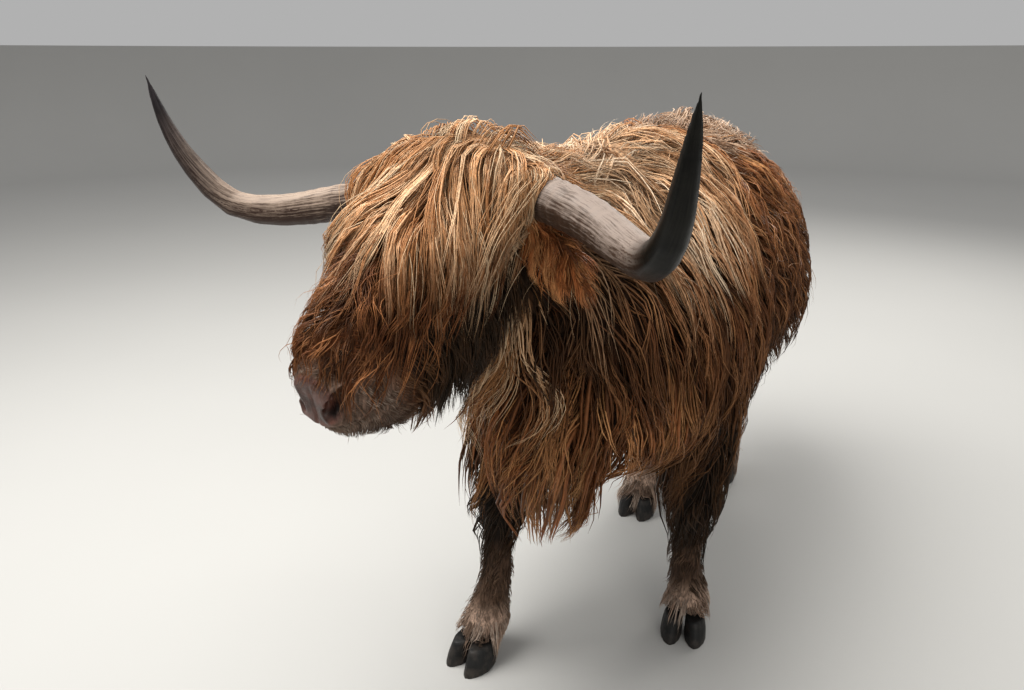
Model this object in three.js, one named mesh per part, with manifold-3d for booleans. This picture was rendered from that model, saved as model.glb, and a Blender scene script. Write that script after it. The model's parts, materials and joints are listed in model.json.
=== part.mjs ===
// A highland cow, life size, standing in mid-step with its head turned a little to its right.
// Millimetres. The cow faces -Y, its left side is +X, and the floor is z = 0. Every flesh solid
// reaches out to the tips of the coat over it, so the outline is that of the animal in its hair.
// The origin is on the floor, in the middle of the box that the whole animal fills.
import * as THREE from "three";
import { mergeVertices } from "three/addons/utils/BufferGeometryUtils.js";
import Module from "manifold-3d";

const wasm = await Module();
wasm.setup();

// ---- driving dimensions ------------------------------------------------------------------
const GAP = 0.4; // clearance between two pieces that meet
const WITHERS_HEIGHT = 1222; // floor to the coat over the shoulders
const BACK_HEIGHT = 1236; // floor to the coat over the loin
const BELLY_HEIGHT = 440; // floor to the tips of the belly hair
const TRUNK_FRONT = -300; // brisket
const TRUNK_REAR = 1200; // pin bones
const BARREL_HALF_WIDTH = 356;
const FOOTPRINT_CENTRE = new THREE.Vector2(-158, 276); // middle of the whole, seen from the withers

// the head hangs from its poll and looks along its own axes
const POLL = new THREE.Vector3(-105, -377, 1190);
const HEAD_TURN = THREE.MathUtils.degToRad(13); // to the cow's right
const HEAD_DROP = THREE.MathUtils.degToRad(36); // face line below the horizontal
const HEAD_LENGTH = 452; // poll to nose
const HEAD_HALF_WIDTH = 116; // across the eye sockets
const HORN_SPREAD = 545; // middle of the head to a horn tip
const HORN_REACH = 235; // how far forward a horn tip lies
const HORN_BASE_RADIUS = 37;
const EYE_RADIUS = 20;
const EYE_AT = { down: 166, out: -54, left: 101 }; // from the poll: down the face, out of it, sideways
const NOSTRIL_AT = { down: 434, out: -58, left: 42 };
const MUZZLE_START = 340; // down the face
const MOUTH_LEVEL = -116; // out of the face
const HOOF_HEIGHT = 58;
const CLAW_LENGTH = 104;
const CLAW_HALF_WIDTH = 27;

const COLOURS = {
  coat: 0x8a5226,
  forelock: 0xb9824a,
  short_coat: 0x6b4a35,
  muzzle: 0x7a5248,
  horn: 0x8c7c6c,
  hoof: 0x2c2a2e,
  eye: 0x120b07,
};

// ---- shaping -----------------------------------------------------------------------------
const v3 = (x, y, z) => new THREE.Vector3(x, y, z);

/** A piece of the cow as a closed manifold solid, from any closed geometry. */
function solidOf(geometry) {
  const bare = new THREE.BufferGeometry()
    .setAttribute("position", geometry.getAttribute("position"))
    .setIndex(geometry.index);
  const merged = mergeVertices(bare, 1e-3);
  return new wasm.Manifold(
    new wasm.Mesh({
      numProp: 3,
      vertProperties: merged.attributes.position.array,
      triVerts: new Uint32Array(merged.index.array),
    }),
  );
}

/** Raises a sine or cosine so that a ring of them runs from a diamond through an oval to a box. */
function swell(value, roundness) {
  return Math.sign(value) * Math.abs(value) ** (2 / roundness);
}

/**
 * A solid grown along a spine. Each station is [x, y, z, half width, above, below]: the width
 * lies along `side`, above and below are measured across it, and stations are joined smoothly.
 * A sphere gives it domed ends, with `blunt` saying how full they are; a cylinder flat ones.
 */
function grow(stations, options = {}) {
  const { side = v3(1, 0, 0), around = 20, along = 14, blunt = 4, domed = true } = options;
  const { roundTop = 2, roundBottom = 2, upright = false, extra = 0 } = options;
  const spine = new THREE.CatmullRomCurve3(stations.map((s) => v3(s[0], s[1], s[2])));
  const sizes = new THREE.CatmullRomCurve3(stations.map((s) => v3(s[3], s[4], s[5])));
  const base = domed
    ? new THREE.SphereGeometry(1, around, along)
    : new THREE.CylinderGeometry(1, 1, 1, around, along);
  const points = base.getAttribute("position");
  const vertex = v3();
  for (let i = 0; i < points.count; i++) {
    vertex.fromBufferAttribute(points, i);
    const radius = Math.hypot(vertex.x, vertex.z);
    const t = domed ? (1 - vertex.y) / 2 : 0.5 - vertex.y;
    const fill = domed ? (1 - Math.abs(2 * t - 1) ** blunt) ** (1 / blunt) : radius;
    const angle = Math.atan2(-vertex.z, vertex.x);
    const centre = spine.getPoint(t);
    const size = sizes.getPoint(t);
    const tangent = upright ? v3(0, 0, 1) : spine.getTangent(t);
    const across = side.clone().addScaledVector(tangent, -side.dot(tangent)).normalize();
    const above = across.clone().cross(tangent).normalize();
    const s = Math.sin(angle);
    const roundness = s > 0 ? roundTop : roundBottom;
    const height = (s > 0 ? size.y : size.z) + extra;
    if (domed) centre.addScaledVector(tangent, Math.sign(t - 0.5) * extra * (1 - fill));
    else centre.addScaledVector(tangent, (2 * t - 1) * extra); // flat ends move out as well
    centre.addScaledVector(across, (size.x + extra) * fill * swell(Math.cos(angle), roundness));
    centre.addScaledVector(above, height * fill * swell(s, roundness));
    points.setXYZ(i, centre.x, centre.y, centre.z);
  }
  return solidOf(base);
}

/** An ellipsoid at a centre, with its half sizes along three right-handed axes. */
function egg(centre, axes, halfSizes, around = 14, along = 10, extra = 0) {
  const [a, b, c] = axes.map((axis, i) => axis.clone().multiplyScalar(halfSizes[i] + extra));
  const frame = new THREE.Matrix4().makeBasis(a, b, c).setPosition(centre);
  return solidOf(new THREE.SphereGeometry(1, around, along).applyMatrix4(frame));
}

/** The largest lump that is left of a solid when others are taken out of it. */
function carve(solid, ...others) {
  const cut = others.reduce((left, other) => left.subtract(other), solid);
  const [largest] = cut.decompose().sort((a, b) => b.volume() - a.volume());
  return largest;
}

// ---- the head's own axes: along the face, out of the forehead, and to the cow's left ----------
const facing = v3(-Math.sin(HEAD_TURN), -Math.cos(HEAD_TURN), 0);
const headLeft = v3(Math.cos(HEAD_TURN), -Math.sin(HEAD_TURN), 0);
const faceLine = facing
  .clone()
  .multiplyScalar(Math.cos(HEAD_DROP))
  .add(v3(0, 0, -Math.sin(HEAD_DROP)));
const brow = facing
  .clone()
  .multiplyScalar(Math.sin(HEAD_DROP))
  .add(v3(0, 0, Math.cos(HEAD_DROP)));

/** A point of the head: down the face from the poll, out of the forehead, and to the left. */
function onHead(down, out, left = 0) {
  return POLL.clone()
    .addScaledVector(faceLine, down)
    .addScaledVector(brow, out)
    .addScaledVector(headLeft, left);
}

/** A head station for grow(), running backwards from the nose so that above is the forehead. */
function headStation(down, halfWidth, out, jaw) {
  const middle = (out + jaw) / 2;
  return [...onHead(down, middle).toArray(), halfWidth, (out - jaw) / 2, (out - jaw) / 2];
}

// ---- flesh -------------------------------------------------------------------------------
/** A trunk station: how far back, the top and bottom of the coat, its widest level and half width. */
function trunkStation(back, top, bottom, level, halfWidth) {
  return [0, back, level, halfWidth, top - level, level - bottom];
}

function trunk(extra = 0) {
  const stations = [
    trunkStation(TRUNK_FRONT, 1040, 560, 770, 150), // brisket
    trunkStation(-170, 1150, 520, 790, 245), // points of the shoulders
    trunkStation(10, WITHERS_HEIGHT, 480, 785, 306), // withers
    trunkStation(210, WITHERS_HEIGHT + 4, BELLY_HEIGHT + 12, 775, 332),
    trunkStation(420, BACK_HEIGHT, BELLY_HEIGHT, 765, 350), // last rib
    trunkStation(620, BACK_HEIGHT - 4, BELLY_HEIGHT + 10, 765, BARREL_HALF_WIDTH), // loin
    trunkStation(800, 1204, 480, 775, 332), // hooks
    trunkStation(950, 1174, 530, 785, 304),
    trunkStation(1080, 1150, 570, 800, 276), // tail head
    trunkStation(TRUNK_REAR, 1122, 610, 810, 246), // pin bones
  ];
  return grow(stations, {
    around: 24, along: 16, blunt: 8, roundTop: 1.72, roundBottom: 2.2, extra,
  });
}

function neck(extra = 0) {
  const stations = [
    [...onHead(30, -120).toArray(), 118, 110, 150], // inside the head
    [-92, -300, 1050, 158, 172, 236],
    [-50, -150, 990, 204, 222, 320],
    [-10, 20, 930, 240, 274, 350],
    [0, 150, 900, 250, 300, 330], // inside the shoulders
  ];
  return grow(stations, { around: 18, along: 8, blunt: 6, roundTop: 1.9, extra });
}

/** The whole head without ears, horns and forelock, from the nose back to the poll. */
function headForm(extra = 0) {
  const stations = [
    headStation(HEAD_LENGTH, 58, -26, -122), // nose pad
    headStation(428, 72, -8, -166), // lips and chin
    headStation(388, 77, 4, -202),
    headStation(326, 80, 10, -252), // corner of the mouth, with the beard under the jaw
    headStation(250, 96, 14, -294),
    headStation(168, HEAD_HALF_WIDTH, 18, -306), // eyes and angle of the jaw
    headStation(85, 122, 14, -288),
    headStation(0, 112, 4, -220), // poll
    headStation(-62, 84, -34, -150), // nape
  ];
  return grow(stations, {
    side: headLeft, around: 18, along: 14, blunt: 5, roundTop: 2.5, roundBottom: 2.2, extra,
  });
}

const headAxes = [headLeft, brow, faceLine];

function eye(sign, extra = 0) {
  const centre = onHead(EYE_AT.down, EYE_AT.out, sign * EYE_AT.left);
  return egg(centre, headAxes, [EYE_RADIUS, EYE_RADIUS, EYE_RADIUS], 10, 7, extra);
}

function nostril(sign) {
  const centre = onHead(NOSTRIL_AT.down, NOSTRIL_AT.out, sign * NOSTRIL_AT.left);
  const outward = headLeft.clone().multiplyScalar(sign).addScaledVector(faceLine, 1.1).normalize();
  const tall = brow.clone().addScaledVector(outward, -brow.dot(outward)).normalize();
  return egg(centre, [tall, outward.clone().cross(tall), outward], [15, 10, 30], 10, 8);
}

/** A block of the head's own space, between two distances down the face and two levels. */
function headBlock(downFrom, downTo, outFrom, outTo) {
  const block = new THREE.BoxGeometry(400, outTo - outFrom, downTo - downFrom);
  const lie = new THREE.Matrix4()
    .makeBasis(headLeft, brow, faceLine)
    .setPosition(onHead((downFrom + downTo) / 2, (outFrom + outTo) / 2));
  return solidOf(block.applyMatrix4(lie));
}

// ---- ears and horns ------------------------------------------------------------------------
function ear(sign, extra = 0) {
  const at = (out, left, z) => {
    const p = POLL.clone().addScaledVector(facing, out).addScaledVector(headLeft, sign * left);
    return [p.x, p.y, POLL.z + z];
  };
  const stations = [
    [...at(-20, 92, -84), 24, 24, 24],
    [...at(-26, 140, -104), 44, 34, 34],
    [...at(-30, 192, -132), 56, 42, 48],
    [...at(-32, 234, -168), 46, 34, 48],
    [...at(-32, 258, -210), 16, 12, 14],
  ];
  return grow(stations, { side: facing, around: 12, along: 8, blunt: 3, extra });
}

/** One horn: out from the poll, then round and up to its tip. `droop` lowers its middle. */
function horn(sign, droop, extra = 0) {
  const at = (left, ahead, z, radius) => {
    const p = POLL.clone().addScaledVector(headLeft, sign * left).addScaledVector(facing, ahead);
    return [p.x, p.y, z, radius, radius, radius];
  };
  const stations = [
    at(70, -4, POLL.z - 26 - 0.9 * droop, HORN_BASE_RADIUS),
    at(190, 8, 1146 - 0.9 * droop, HORN_BASE_RADIUS - 2),
    at(290, 41, 1132 - droop, 33),
    at(376, 89, 1117 - droop, 29.5),
    at(452, 147, 1119 - 0.75 * droop, 25),
    at(500, 190, 1164 - 0.2 * droop, 20),
    at(526, 216, 1236 - 0.2 * droop, 13.5),
    at(HORN_SPREAD, HORN_REACH, 1322, 3),
  ];
  return grow(stations, { side: facing, around: 10, along: 22, blunt: 9, extra });
}

// ---- legs ----------------------------------------------------------------------------------
// Each leg is given by its joints, from the trunk down, and by the middle of its foot.
const LEGS = {
  foreleg_right: {
    fore: true, elbow: v3(-196, 20, 660), knee: v3(-194, -88, 310), cannon: v3(-192, -98, 190),
    fetlock: v3(-194, -144, 98), foot: v3(-205, -208, 0), toeOut: 14,
  },
  foreleg_left: {
    fore: true, elbow: v3(204, 150, 660), knee: v3(206, 128, 310), cannon: v3(198, 152, 190),
    fetlock: v3(208, 158, 98), foot: v3(216, 112, 0), toeOut: 12,
  },
  hindleg_right: {
    fore: false, elbow: v3(-176, 850, 700), knee: v3(-130, 868, 410), cannon: v3(-96, 740, 235),
    fetlock: v3(-72, 654, 108), foot: v3(-70, 600, 0), toeOut: 2,
  },
  hindleg_left: {
    fore: false, elbow: v3(176, 1000, 700), knee: v3(146, 1082, 420), cannon: v3(122, 1040, 240),
    fetlock: v3(108, 990, 108), foot: v3(104, 936, 0), toeOut: 4,
  },
};

/** A leg station: its middle, its half width, and how far it reaches behind and ahead of that. */
function legStation(middle, halfWidth, behind, ahead) {
  return [...middle.toArray(), halfWidth, behind, ahead];
}

/** The upper leg with its long feathering, down to just below the knee or the hock. */
function upperLeg(leg, extra = 0) {
  const { elbow, knee, cannon, fore } = leg;
  const middle = elbow.clone().lerp(knee, 0.5);
  const hem = knee.clone().lerp(cannon, 0.3);
  const stations = fore
    ? [
        legStation(elbow.clone().add(v3(0, 0, 120)), 96, 180, 160),
        legStation(elbow, 102, 172, 146),
        legStation(middle, 92, 134, 104),
        legStation(knee.clone().add(v3(0, 0, 34)), 78, 104, 70),
        legStation(hem, 56, 62, 54),
      ]
    : [
        legStation(elbow.clone().add(v3(0, 0, 190)), 118, 190, 200),
        legStation(elbow, 126, 186, 200),
        legStation(middle, 104, 118, 150),
        legStation(knee.clone().add(v3(0, 0, 30)), 72, 84, 84),
        legStation(hem, 52, 60, 56),
      ];
  return grow(stations, { around: 14, along: 9, blunt: 7, extra });
}

/** The lower leg, from the knee or the hock to the top of the hoof. */
function lowerLeg(leg, extra = 0) {
  const { knee, cannon, fetlock, foot } = leg;
  const coronet = foot.clone().lerp(fetlock, 0.42).setZ(HOOF_HEIGHT - 8);
  const stations = [
    legStation(knee.clone().lerp(cannon, 0.1), 46, 46, 48),
    legStation(knee.clone().lerp(cannon, 0.6), 39, 40, 38),
    legStation(cannon, 38, 40, 37),
    legStation(cannon.clone().lerp(fetlock, 0.6), 42, 46, 42),
    legStation(fetlock, 49, 54, 50),
    legStation(coronet, 54, 52, 52),
  ];
  return grow(stations, { around: 11, along: 9, blunt: 8, extra });
}

/** The way a foot points, on the floor. */
function toeLine(leg) {
  const turn = THREE.MathUtils.degToRad(leg.toeOut);
  return v3(leg.foot.x < 0 ? -Math.sin(turn) : Math.sin(turn), -Math.cos(turn), 0);
}

/** One claw of a cloven hoof: a wedge with a flat sole on the floor and a sloping front wall. */
function claw(leg, sign, extra = 0) {
  const ahead = toeLine(leg);
  const across = v3(-ahead.y, ahead.x, 0);
  const half = CLAW_LENGTH / 2;
  const at = (forward, out, z) => {
    const p = leg.foot.clone().addScaledVector(ahead, forward).addScaledVector(across, sign * out);
    return [p.x, p.y, z];
  };
  const stations = [
    [...at(0, CLAW_HALF_WIDTH + 2, 0), CLAW_HALF_WIDTH, half, half],
    [...at(-6, CLAW_HALF_WIDTH + 1, HOOF_HEIGHT * 0.5), CLAW_HALF_WIDTH - 1, half - 4, half - 12],
    [...at(-14, CLAW_HALF_WIDTH - 2, HOOF_HEIGHT), CLAW_HALF_WIDTH - 4, half - 10, half - 24],
  ];
  return grow(stations, {
    side: across, around: 12, along: 2, domed: false, upright: true, roundTop: 1.7, extra,
  });
}

/** A dewclaw, behind and above the hoof. */
function dewclaw(leg, sign) {
  const ahead = toeLine(leg);
  const across = v3(-ahead.y, ahead.x, 0);
  const centre = leg.fetlock
    .clone()
    .addScaledVector(ahead, -44)
    .addScaledVector(across, sign * 27)
    .setZ(leg.fetlock.z - 16);
  const down = v3(0, 0, -1).addScaledVector(ahead, -0.5).normalize();
  const out = down.clone().cross(across).normalize();
  return egg(centre, [across, out, down], [13, 14, 24], 8, 5);
}

// ---- hanging hair and tail ------------------------------------------------------------------
/** The long hair that falls from the poll over the whole face, down to the top of the nose. */
function forelock(extra = 0) {
  const stations = [
    headStation(424, 56, 14, -30),
    headStation(366, 68, 30, -60),
    headStation(288, 94, 44, -100),
    headStation(190, 132, 58, -140),
    headStation(90, 158, 68, -150),
    headStation(5, 154, 66, -120),
    headStation(-66, 112, 40, -90),
  ];
  return grow(stations, {
    side: headLeft, around: 16, along: 9, blunt: 4, roundTop: 2.2, extra,
  });
}

/** Dewlap and breast hair, hanging between the forelegs. */
function breastHair() {
  const stations = [
    [-66, -330, 900, 96, 60, 60],
    [-52, -330, 760, 128, 90, 70],
    [-36, -262, 600, 132, 110, 80],
    [-34, -200, 450, 104, 90, 60],
    [-46, -160, 335, 34, 40, 30],
  ];
  return grow(stations, { around: 12, along: 7, blunt: 4 });
}

function tailDock(extra = 0) {
  const stations = [
    [0, 1130, 1064, 42, 52, 50],
    [0, 1206, 1020, 42, 42, 42],
    [0, 1232, 900, 40, 34, 36],
    [0, 1230, 740, 38, 34, 34],
  ];
  return grow(stations, { around: 10, along: 8, blunt: 5, extra });
}

function tailSwitch() {
  const stations = [
    [0, 1232, 780, 40, 36, 36],
    [0, 1230, 620, 66, 56, 50],
    [0, 1224, 460, 72, 58, 54],
    [0, 1218, 300, 20, 18, 16],
  ];
  return grow(stations, { around: 10, along: 8, blunt: 4 });
}

// ---- assembly --------------------------------------------------------------------------------
const cow = new THREE.Group();
cow.position.set(-FOOTPRINT_CENTRE.x, -FOOTPRINT_CENTRE.y, 0);

/** Adds a solid to the cow as a named mesh. */
function place(name, solid, finish) {
  const made = solid.getMesh();
  const geometry = new THREE.BufferGeometry()
    .setAttribute("position", new THREE.BufferAttribute(made.vertProperties.slice(), 3))
    .setIndex(new THREE.BufferAttribute(made.triVerts.slice(), 1));
  geometry.computeVertexNormals();
  const material = new THREE.MeshStandardMaterial({
    color: COLOURS[finish],
    roughness: finish === "eye" ? 0.1 : finish === "horn" || finish === "hoof" ? 0.45 : 0.85,
    metalness: 0,
  });
  const mesh = new THREE.Mesh(geometry, material);
  mesh.name = name;
  cow.add(mesh);
}

const sides = [["left", 1], ["right", -1]];
const HORN_DROOP = { left: 0, right: 42 };
const trunkGrown = trunk(GAP);
const neckGrown = neck(GAP);
const headGrown = headForm(GAP);

place("trunk", trunk(), "coat");
place("neck", carve(neck(), trunkGrown, headGrown), "coat");

// head, muzzle and lower jaw come from one form, parted by thin cuts
const eyesGrown = sides.map(([, sign]) => eye(sign, GAP));
const cranium = headBlock(-300, MUZZLE_START - GAP / 2, -600, 400);
const upperLip = headBlock(MUZZLE_START + GAP / 2, 700, MOUTH_LEVEL + GAP / 2, 400);
const lowerLip = headBlock(MUZZLE_START + GAP / 2, 700, -600, MOUTH_LEVEL - GAP / 2);
place("head", carve(headForm().intersect(cranium), trunkGrown, ...eyesGrown), "coat");
place("muzzle", carve(headForm().intersect(upperLip), nostril(1), nostril(-1)), "muzzle");
place("lower_jaw", carve(headForm().intersect(lowerLip)), "muzzle");

const hornsGrown = sides.map(([side, sign]) => horn(sign, HORN_DROOP[side], GAP));
const earsGrown = sides.map(([, sign]) => ear(sign, GAP));
sides.forEach(([side, sign], i) => {
  place(`eye_${side}`, eye(sign), "eye");
  place(`horn_${side}`, carve(horn(sign, HORN_DROOP[side]), headGrown, neckGrown), "horn");
  place(`ear_${side}`, carve(ear(sign), headGrown, neckGrown, trunkGrown, hornsGrown[i]), "coat");
});
place(
  "forelock",
  carve(forelock(), headGrown, neckGrown, ...hornsGrown, ...earsGrown, ...eyesGrown),
  "forelock",
);

const upperGrown = [];
for (const [name, leg] of Object.entries(LEGS)) {
  const upper = upperLeg(leg, GAP);
  const lower = lowerLeg(leg, GAP);
  const claws = [1, -1].map((sign) => claw(leg, sign, GAP));
  upperGrown.push(upper);
  place(`${name}_upper`, carve(upperLeg(leg), trunkGrown, neckGrown), "coat");
  place(`${name}_lower`, carve(lowerLeg(leg), upper, ...claws), "short_coat");
  const outward = Math.sign(leg.foot.x);
  for (const [which, sign] of [["outer", outward], ["inner", -outward]]) {
    place(`${name}_claw_${which}`, claw(leg, sign), "hoof");
    place(`${name}_dewclaw_${which}`, carve(dewclaw(leg, sign), lower), "hoof");
  }
}

place(
  "breast_hair",
  carve(breastHair(), trunkGrown, neckGrown, headGrown, ...upperGrown),
  "coat",
);
place("tail_dock", carve(tailDock(), trunkGrown), "coat");
place("tail_switch", carve(tailSwitch(), trunkGrown, tailDock(GAP)), "coat");

export default cow;
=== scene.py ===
"""A highland cow that stands with its head turned, life size, in its long coat.

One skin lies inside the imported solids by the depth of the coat. The coat is made of
tapered strands that are combed over the skin, lock by lock, up to the outline of the
solids. Horns, claws and eyes are pieces of their own.
"""

from __future__ import annotations

import json
import logging
import math
from dataclasses import dataclass, field, replace
from enum import Enum

import bmesh
import bpy
import numpy as np
from mathutils import Matrix, Vector
from mathutils.bvhtree import BVHTree

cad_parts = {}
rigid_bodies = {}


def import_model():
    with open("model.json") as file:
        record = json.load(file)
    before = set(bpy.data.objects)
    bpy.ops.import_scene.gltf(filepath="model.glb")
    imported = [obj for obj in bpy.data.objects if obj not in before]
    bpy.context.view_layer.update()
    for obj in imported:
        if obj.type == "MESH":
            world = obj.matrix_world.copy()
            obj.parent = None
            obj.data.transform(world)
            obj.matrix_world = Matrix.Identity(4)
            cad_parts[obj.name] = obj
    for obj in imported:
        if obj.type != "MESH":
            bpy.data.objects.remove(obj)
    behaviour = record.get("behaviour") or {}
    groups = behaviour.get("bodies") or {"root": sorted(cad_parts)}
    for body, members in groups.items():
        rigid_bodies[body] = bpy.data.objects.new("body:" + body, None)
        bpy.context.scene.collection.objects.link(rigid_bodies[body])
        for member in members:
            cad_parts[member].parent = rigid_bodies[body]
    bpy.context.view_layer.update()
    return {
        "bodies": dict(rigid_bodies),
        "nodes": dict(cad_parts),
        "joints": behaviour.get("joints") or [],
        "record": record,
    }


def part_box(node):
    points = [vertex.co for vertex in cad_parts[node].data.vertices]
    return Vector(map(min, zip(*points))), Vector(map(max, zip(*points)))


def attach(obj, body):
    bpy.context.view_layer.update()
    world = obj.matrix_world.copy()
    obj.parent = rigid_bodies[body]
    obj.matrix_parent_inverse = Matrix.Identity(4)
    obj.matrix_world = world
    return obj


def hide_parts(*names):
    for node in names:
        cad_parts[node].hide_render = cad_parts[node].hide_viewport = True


log = logging.getLogger("cow")

Colour = tuple[float, float, float]
Triple = tuple[float, float, float]

UP = np.array([0.0, 0.0, 1.0])
REAR = np.array([0.0, 1.0, 0.0])
BODY = "root"
LEGS = ("foreleg_right", "foreleg_left", "hindleg_right", "hindleg_left")
CLAWS = ("claw_outer", "claw_inner", "dewclaw_outer", "dewclaw_inner")
TRUNK_MIDDLE = 0.158


class Side(Enum):
    """A half of the animal, with the sign of x that it lies on."""

    LEFT = 1
    RIGHT = -1

    @property
    def word(self) -> str:
        """The side's name as it stands in the names of nodes and pieces."""
        return self.name.lower()


class Area(Enum):
    """The areas of the hide, each with a coat of its own length and lie."""

    POLL = 0
    BRIDGE = 1
    CHEEK = 2
    EAR = 3
    MUZZLE = 4
    MANE = 5
    BREAST = 6
    FLANK = 7
    BACK = 8
    RUMP = 9
    BELLY = 10
    UPPER_LEG = 11
    LOWER_LEG = 12
    TAIL = 13
    NAPE = 14
    THROAT = 15


# ---------------------------------------------------------------- small mathematics


def unit(vectors: np.ndarray) -> np.ndarray:
    """Vectors scaled to a length of one, along the last axis."""
    return vectors / np.maximum(np.linalg.norm(vectors, axis=-1, keepdims=True), 1e-9)


def dot(a: np.ndarray, b: np.ndarray) -> np.ndarray:
    """Products of rows, kept as a column."""
    return np.sum(a * b, axis=-1, keepdims=True)


def ease(low: float, high: float, value: np.ndarray) -> np.ndarray:
    """A smooth step from 0 at low to 1 at high."""
    t = np.clip((value - low) / (high - low), 0.0, 1.0)
    return t * t * (3.0 - 2.0 * t)


def bell(value: np.ndarray, width: float) -> np.ndarray:
    """A bump of height 1 at 0 that fades over width."""
    return np.exp(-((value / width) ** 2))


def mix(a: np.ndarray, b: np.ndarray, share: np.ndarray) -> np.ndarray:
    """A blend of rows a and b, where share is a column or a number."""
    return a + (b - a) * share


def nearest(tree: BVHTree, points: np.ndarray) -> tuple[np.ndarray, np.ndarray, np.ndarray]:
    """Finds the closest place on a surface for each point.

    Args:
        tree: the surface.
        points: rows of points.

    Returns:
        The places, the surface's normals there, and the signed heights over it.
    """
    hits = [tree.find_nearest(p) for p in points.tolist()]
    place = np.array([h[0][:] for h in hits])
    out = np.array([h[1][:] for h in hits])
    return place, out, dot(points - place, out)[:, 0]


# ---------------------------------------------------------------- anatomy


@dataclass(frozen=True)
class HeadAxes:
    """The head's own axes: down the face, out of the brow, and to its left, from the poll."""

    poll: Triple = (0.053, -0.653, 1.190)
    turn: float = math.radians(13)
    drop: float = math.radians(36)

    @property
    def facing(self) -> np.ndarray:
        """The level direction that the head faces."""
        return np.array([-math.sin(self.turn), -math.cos(self.turn), 0.0])

    @property
    def left(self) -> np.ndarray:
        """The head's own left."""
        return np.array([math.cos(self.turn), -math.sin(self.turn), 0.0])

    @property
    def face_line(self) -> np.ndarray:
        """From the poll down to the nose."""
        return self.facing * math.cos(self.drop) - UP * math.sin(self.drop)

    @property
    def brow(self) -> np.ndarray:
        """Straight out of the forehead."""
        return self.facing * math.sin(self.drop) + UP * math.cos(self.drop)

    def point(self, down: float, out: float, left: float) -> np.ndarray:
        """A point given in the head's axes, in metres."""
        return np.array(self.poll) + self.face_line * down + self.brow * out + self.left * left

    def local(self, points: np.ndarray) -> np.ndarray:
        """Rows of points as rows of down, out and left."""
        return (points - np.array(self.poll)) @ np.array([self.face_line, self.brow, self.left]).T


HEAD = HeadAxes()
EYE_RADIUS = 0.020
TAIL_HEAD = 0.96  # above this the tail's root wears the coat of the rump
EYE_PLACE = (0.166, -0.054, 0.101)
HORN_ROOT = (0.024, -0.024, 0.150)  # the hair that swells round a horn's base
HORN_ROOT_REACH = (0.060, 0.058, 0.062)


def eye_middle(side: Side) -> np.ndarray:
    """The middle of an eye."""
    return HEAD.point(EYE_PLACE[0], EYE_PLACE[1], EYE_PLACE[2] * side.value)


def midline(y: np.ndarray) -> np.ndarray:
    """Where the middle of the back and neck lies across, at each distance along."""
    return TRUNK_MIDDLE + (HEAD.poll[0] - TRUNK_MIDDLE) * ease(-0.25, -0.60, y)


# ---------------------------------------------------------------- mesh helpers


def coords(mesh: bpy.types.Mesh) -> np.ndarray:
    """The vertices of a mesh as rows."""
    flat = np.empty(len(mesh.vertices) * 3)
    mesh.vertices.foreach_get("co", flat)
    return flat.reshape(-1, 3)


def normals(mesh: bpy.types.Mesh) -> np.ndarray:
    """The vertex normals of a mesh as rows."""
    flat = np.empty(len(mesh.vertices) * 3)
    mesh.vertex_normals.foreach_get("vector", flat)
    return flat.reshape(-1, 3)


def place(mesh: bpy.types.Mesh, points: np.ndarray) -> None:
    """Moves the vertices of a mesh to rows of points."""
    mesh.vertices.foreach_set("co", points.astype(np.float32).ravel())
    mesh.update()


def tree_of(*meshes: bpy.types.Mesh) -> BVHTree:
    """A search tree over the faces of one mesh or more."""
    corners, faces = [], []
    for mesh in meshes:
        start = len(corners)
        corners += [v.co for v in mesh.vertices]
        faces += [[start + i for i in p.vertices] for p in mesh.polygons]
    return BVHTree.FromPolygons(corners, faces)


def show(name: str, mesh: bpy.types.Mesh) -> bpy.types.Object:
    """Puts a mesh in the scene as a piece at the origin."""
    piece = bpy.data.objects.new(name, mesh)
    bpy.context.scene.collection.objects.link(piece)
    return piece


def write_colour(mesh: bpy.types.Mesh, name: str, rows: np.ndarray) -> None:
    """Stores a colour for each vertex."""
    rgba = np.ones((len(rows), 4), np.float32)
    rgba[:, :3] = rows
    mesh.attributes.new(name, "FLOAT_COLOR", "POINT").data.foreach_set("color", rgba.ravel())


def write_value(mesh: bpy.types.Mesh, name: str, values: np.ndarray) -> None:
    """Stores a number for each vertex."""
    mesh.attributes.new(name, "FLOAT", "POINT").data.foreach_set("value", values.astype(np.float32))


def smooth_shaded(mesh: bpy.types.Mesh) -> bpy.types.Mesh:
    """Shades every face of a mesh smooth."""
    mesh.polygons.foreach_set("use_smooth", np.ones(len(mesh.polygons), bool))
    mesh.update()
    return mesh


class Relaxer:
    """Averages values over the neighbours in a mesh."""

    def __init__(self, mesh: bpy.types.Mesh) -> None:
        """Reads the edges of the mesh."""
        ends = np.empty(len(mesh.edges) * 2, np.int64)
        mesh.edges.foreach_get("vertices", ends)
        self.a, self.b = ends.reshape(-1, 2).T
        self.size = len(mesh.vertices)
        self.degree = np.maximum(self.gather(np.ones((self.size, 1))), 1.0)

    def gather(self, rows: np.ndarray) -> np.ndarray:
        """Sums the neighbours' rows."""
        out = np.empty_like(rows)
        for k in range(rows.shape[1]):
            out[:, k] = np.bincount(self.a, rows[self.b, k], self.size)
            out[:, k] += np.bincount(self.b, rows[self.a, k], self.size)
        return out

    def relax(self, rows: np.ndarray, times: int, share: float | np.ndarray = 0.5) -> np.ndarray:
        """Moves rows towards their neighbours' mean.

        Args:
            rows: a row for each vertex.
            times: how many rounds.
            share: how far a round goes, as a number or a column.

        Returns:
            The smoothed rows.
        """
        for _ in range(times):
            rows = rows + (self.gather(rows) / self.degree - rows) * share
        return rows


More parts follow.
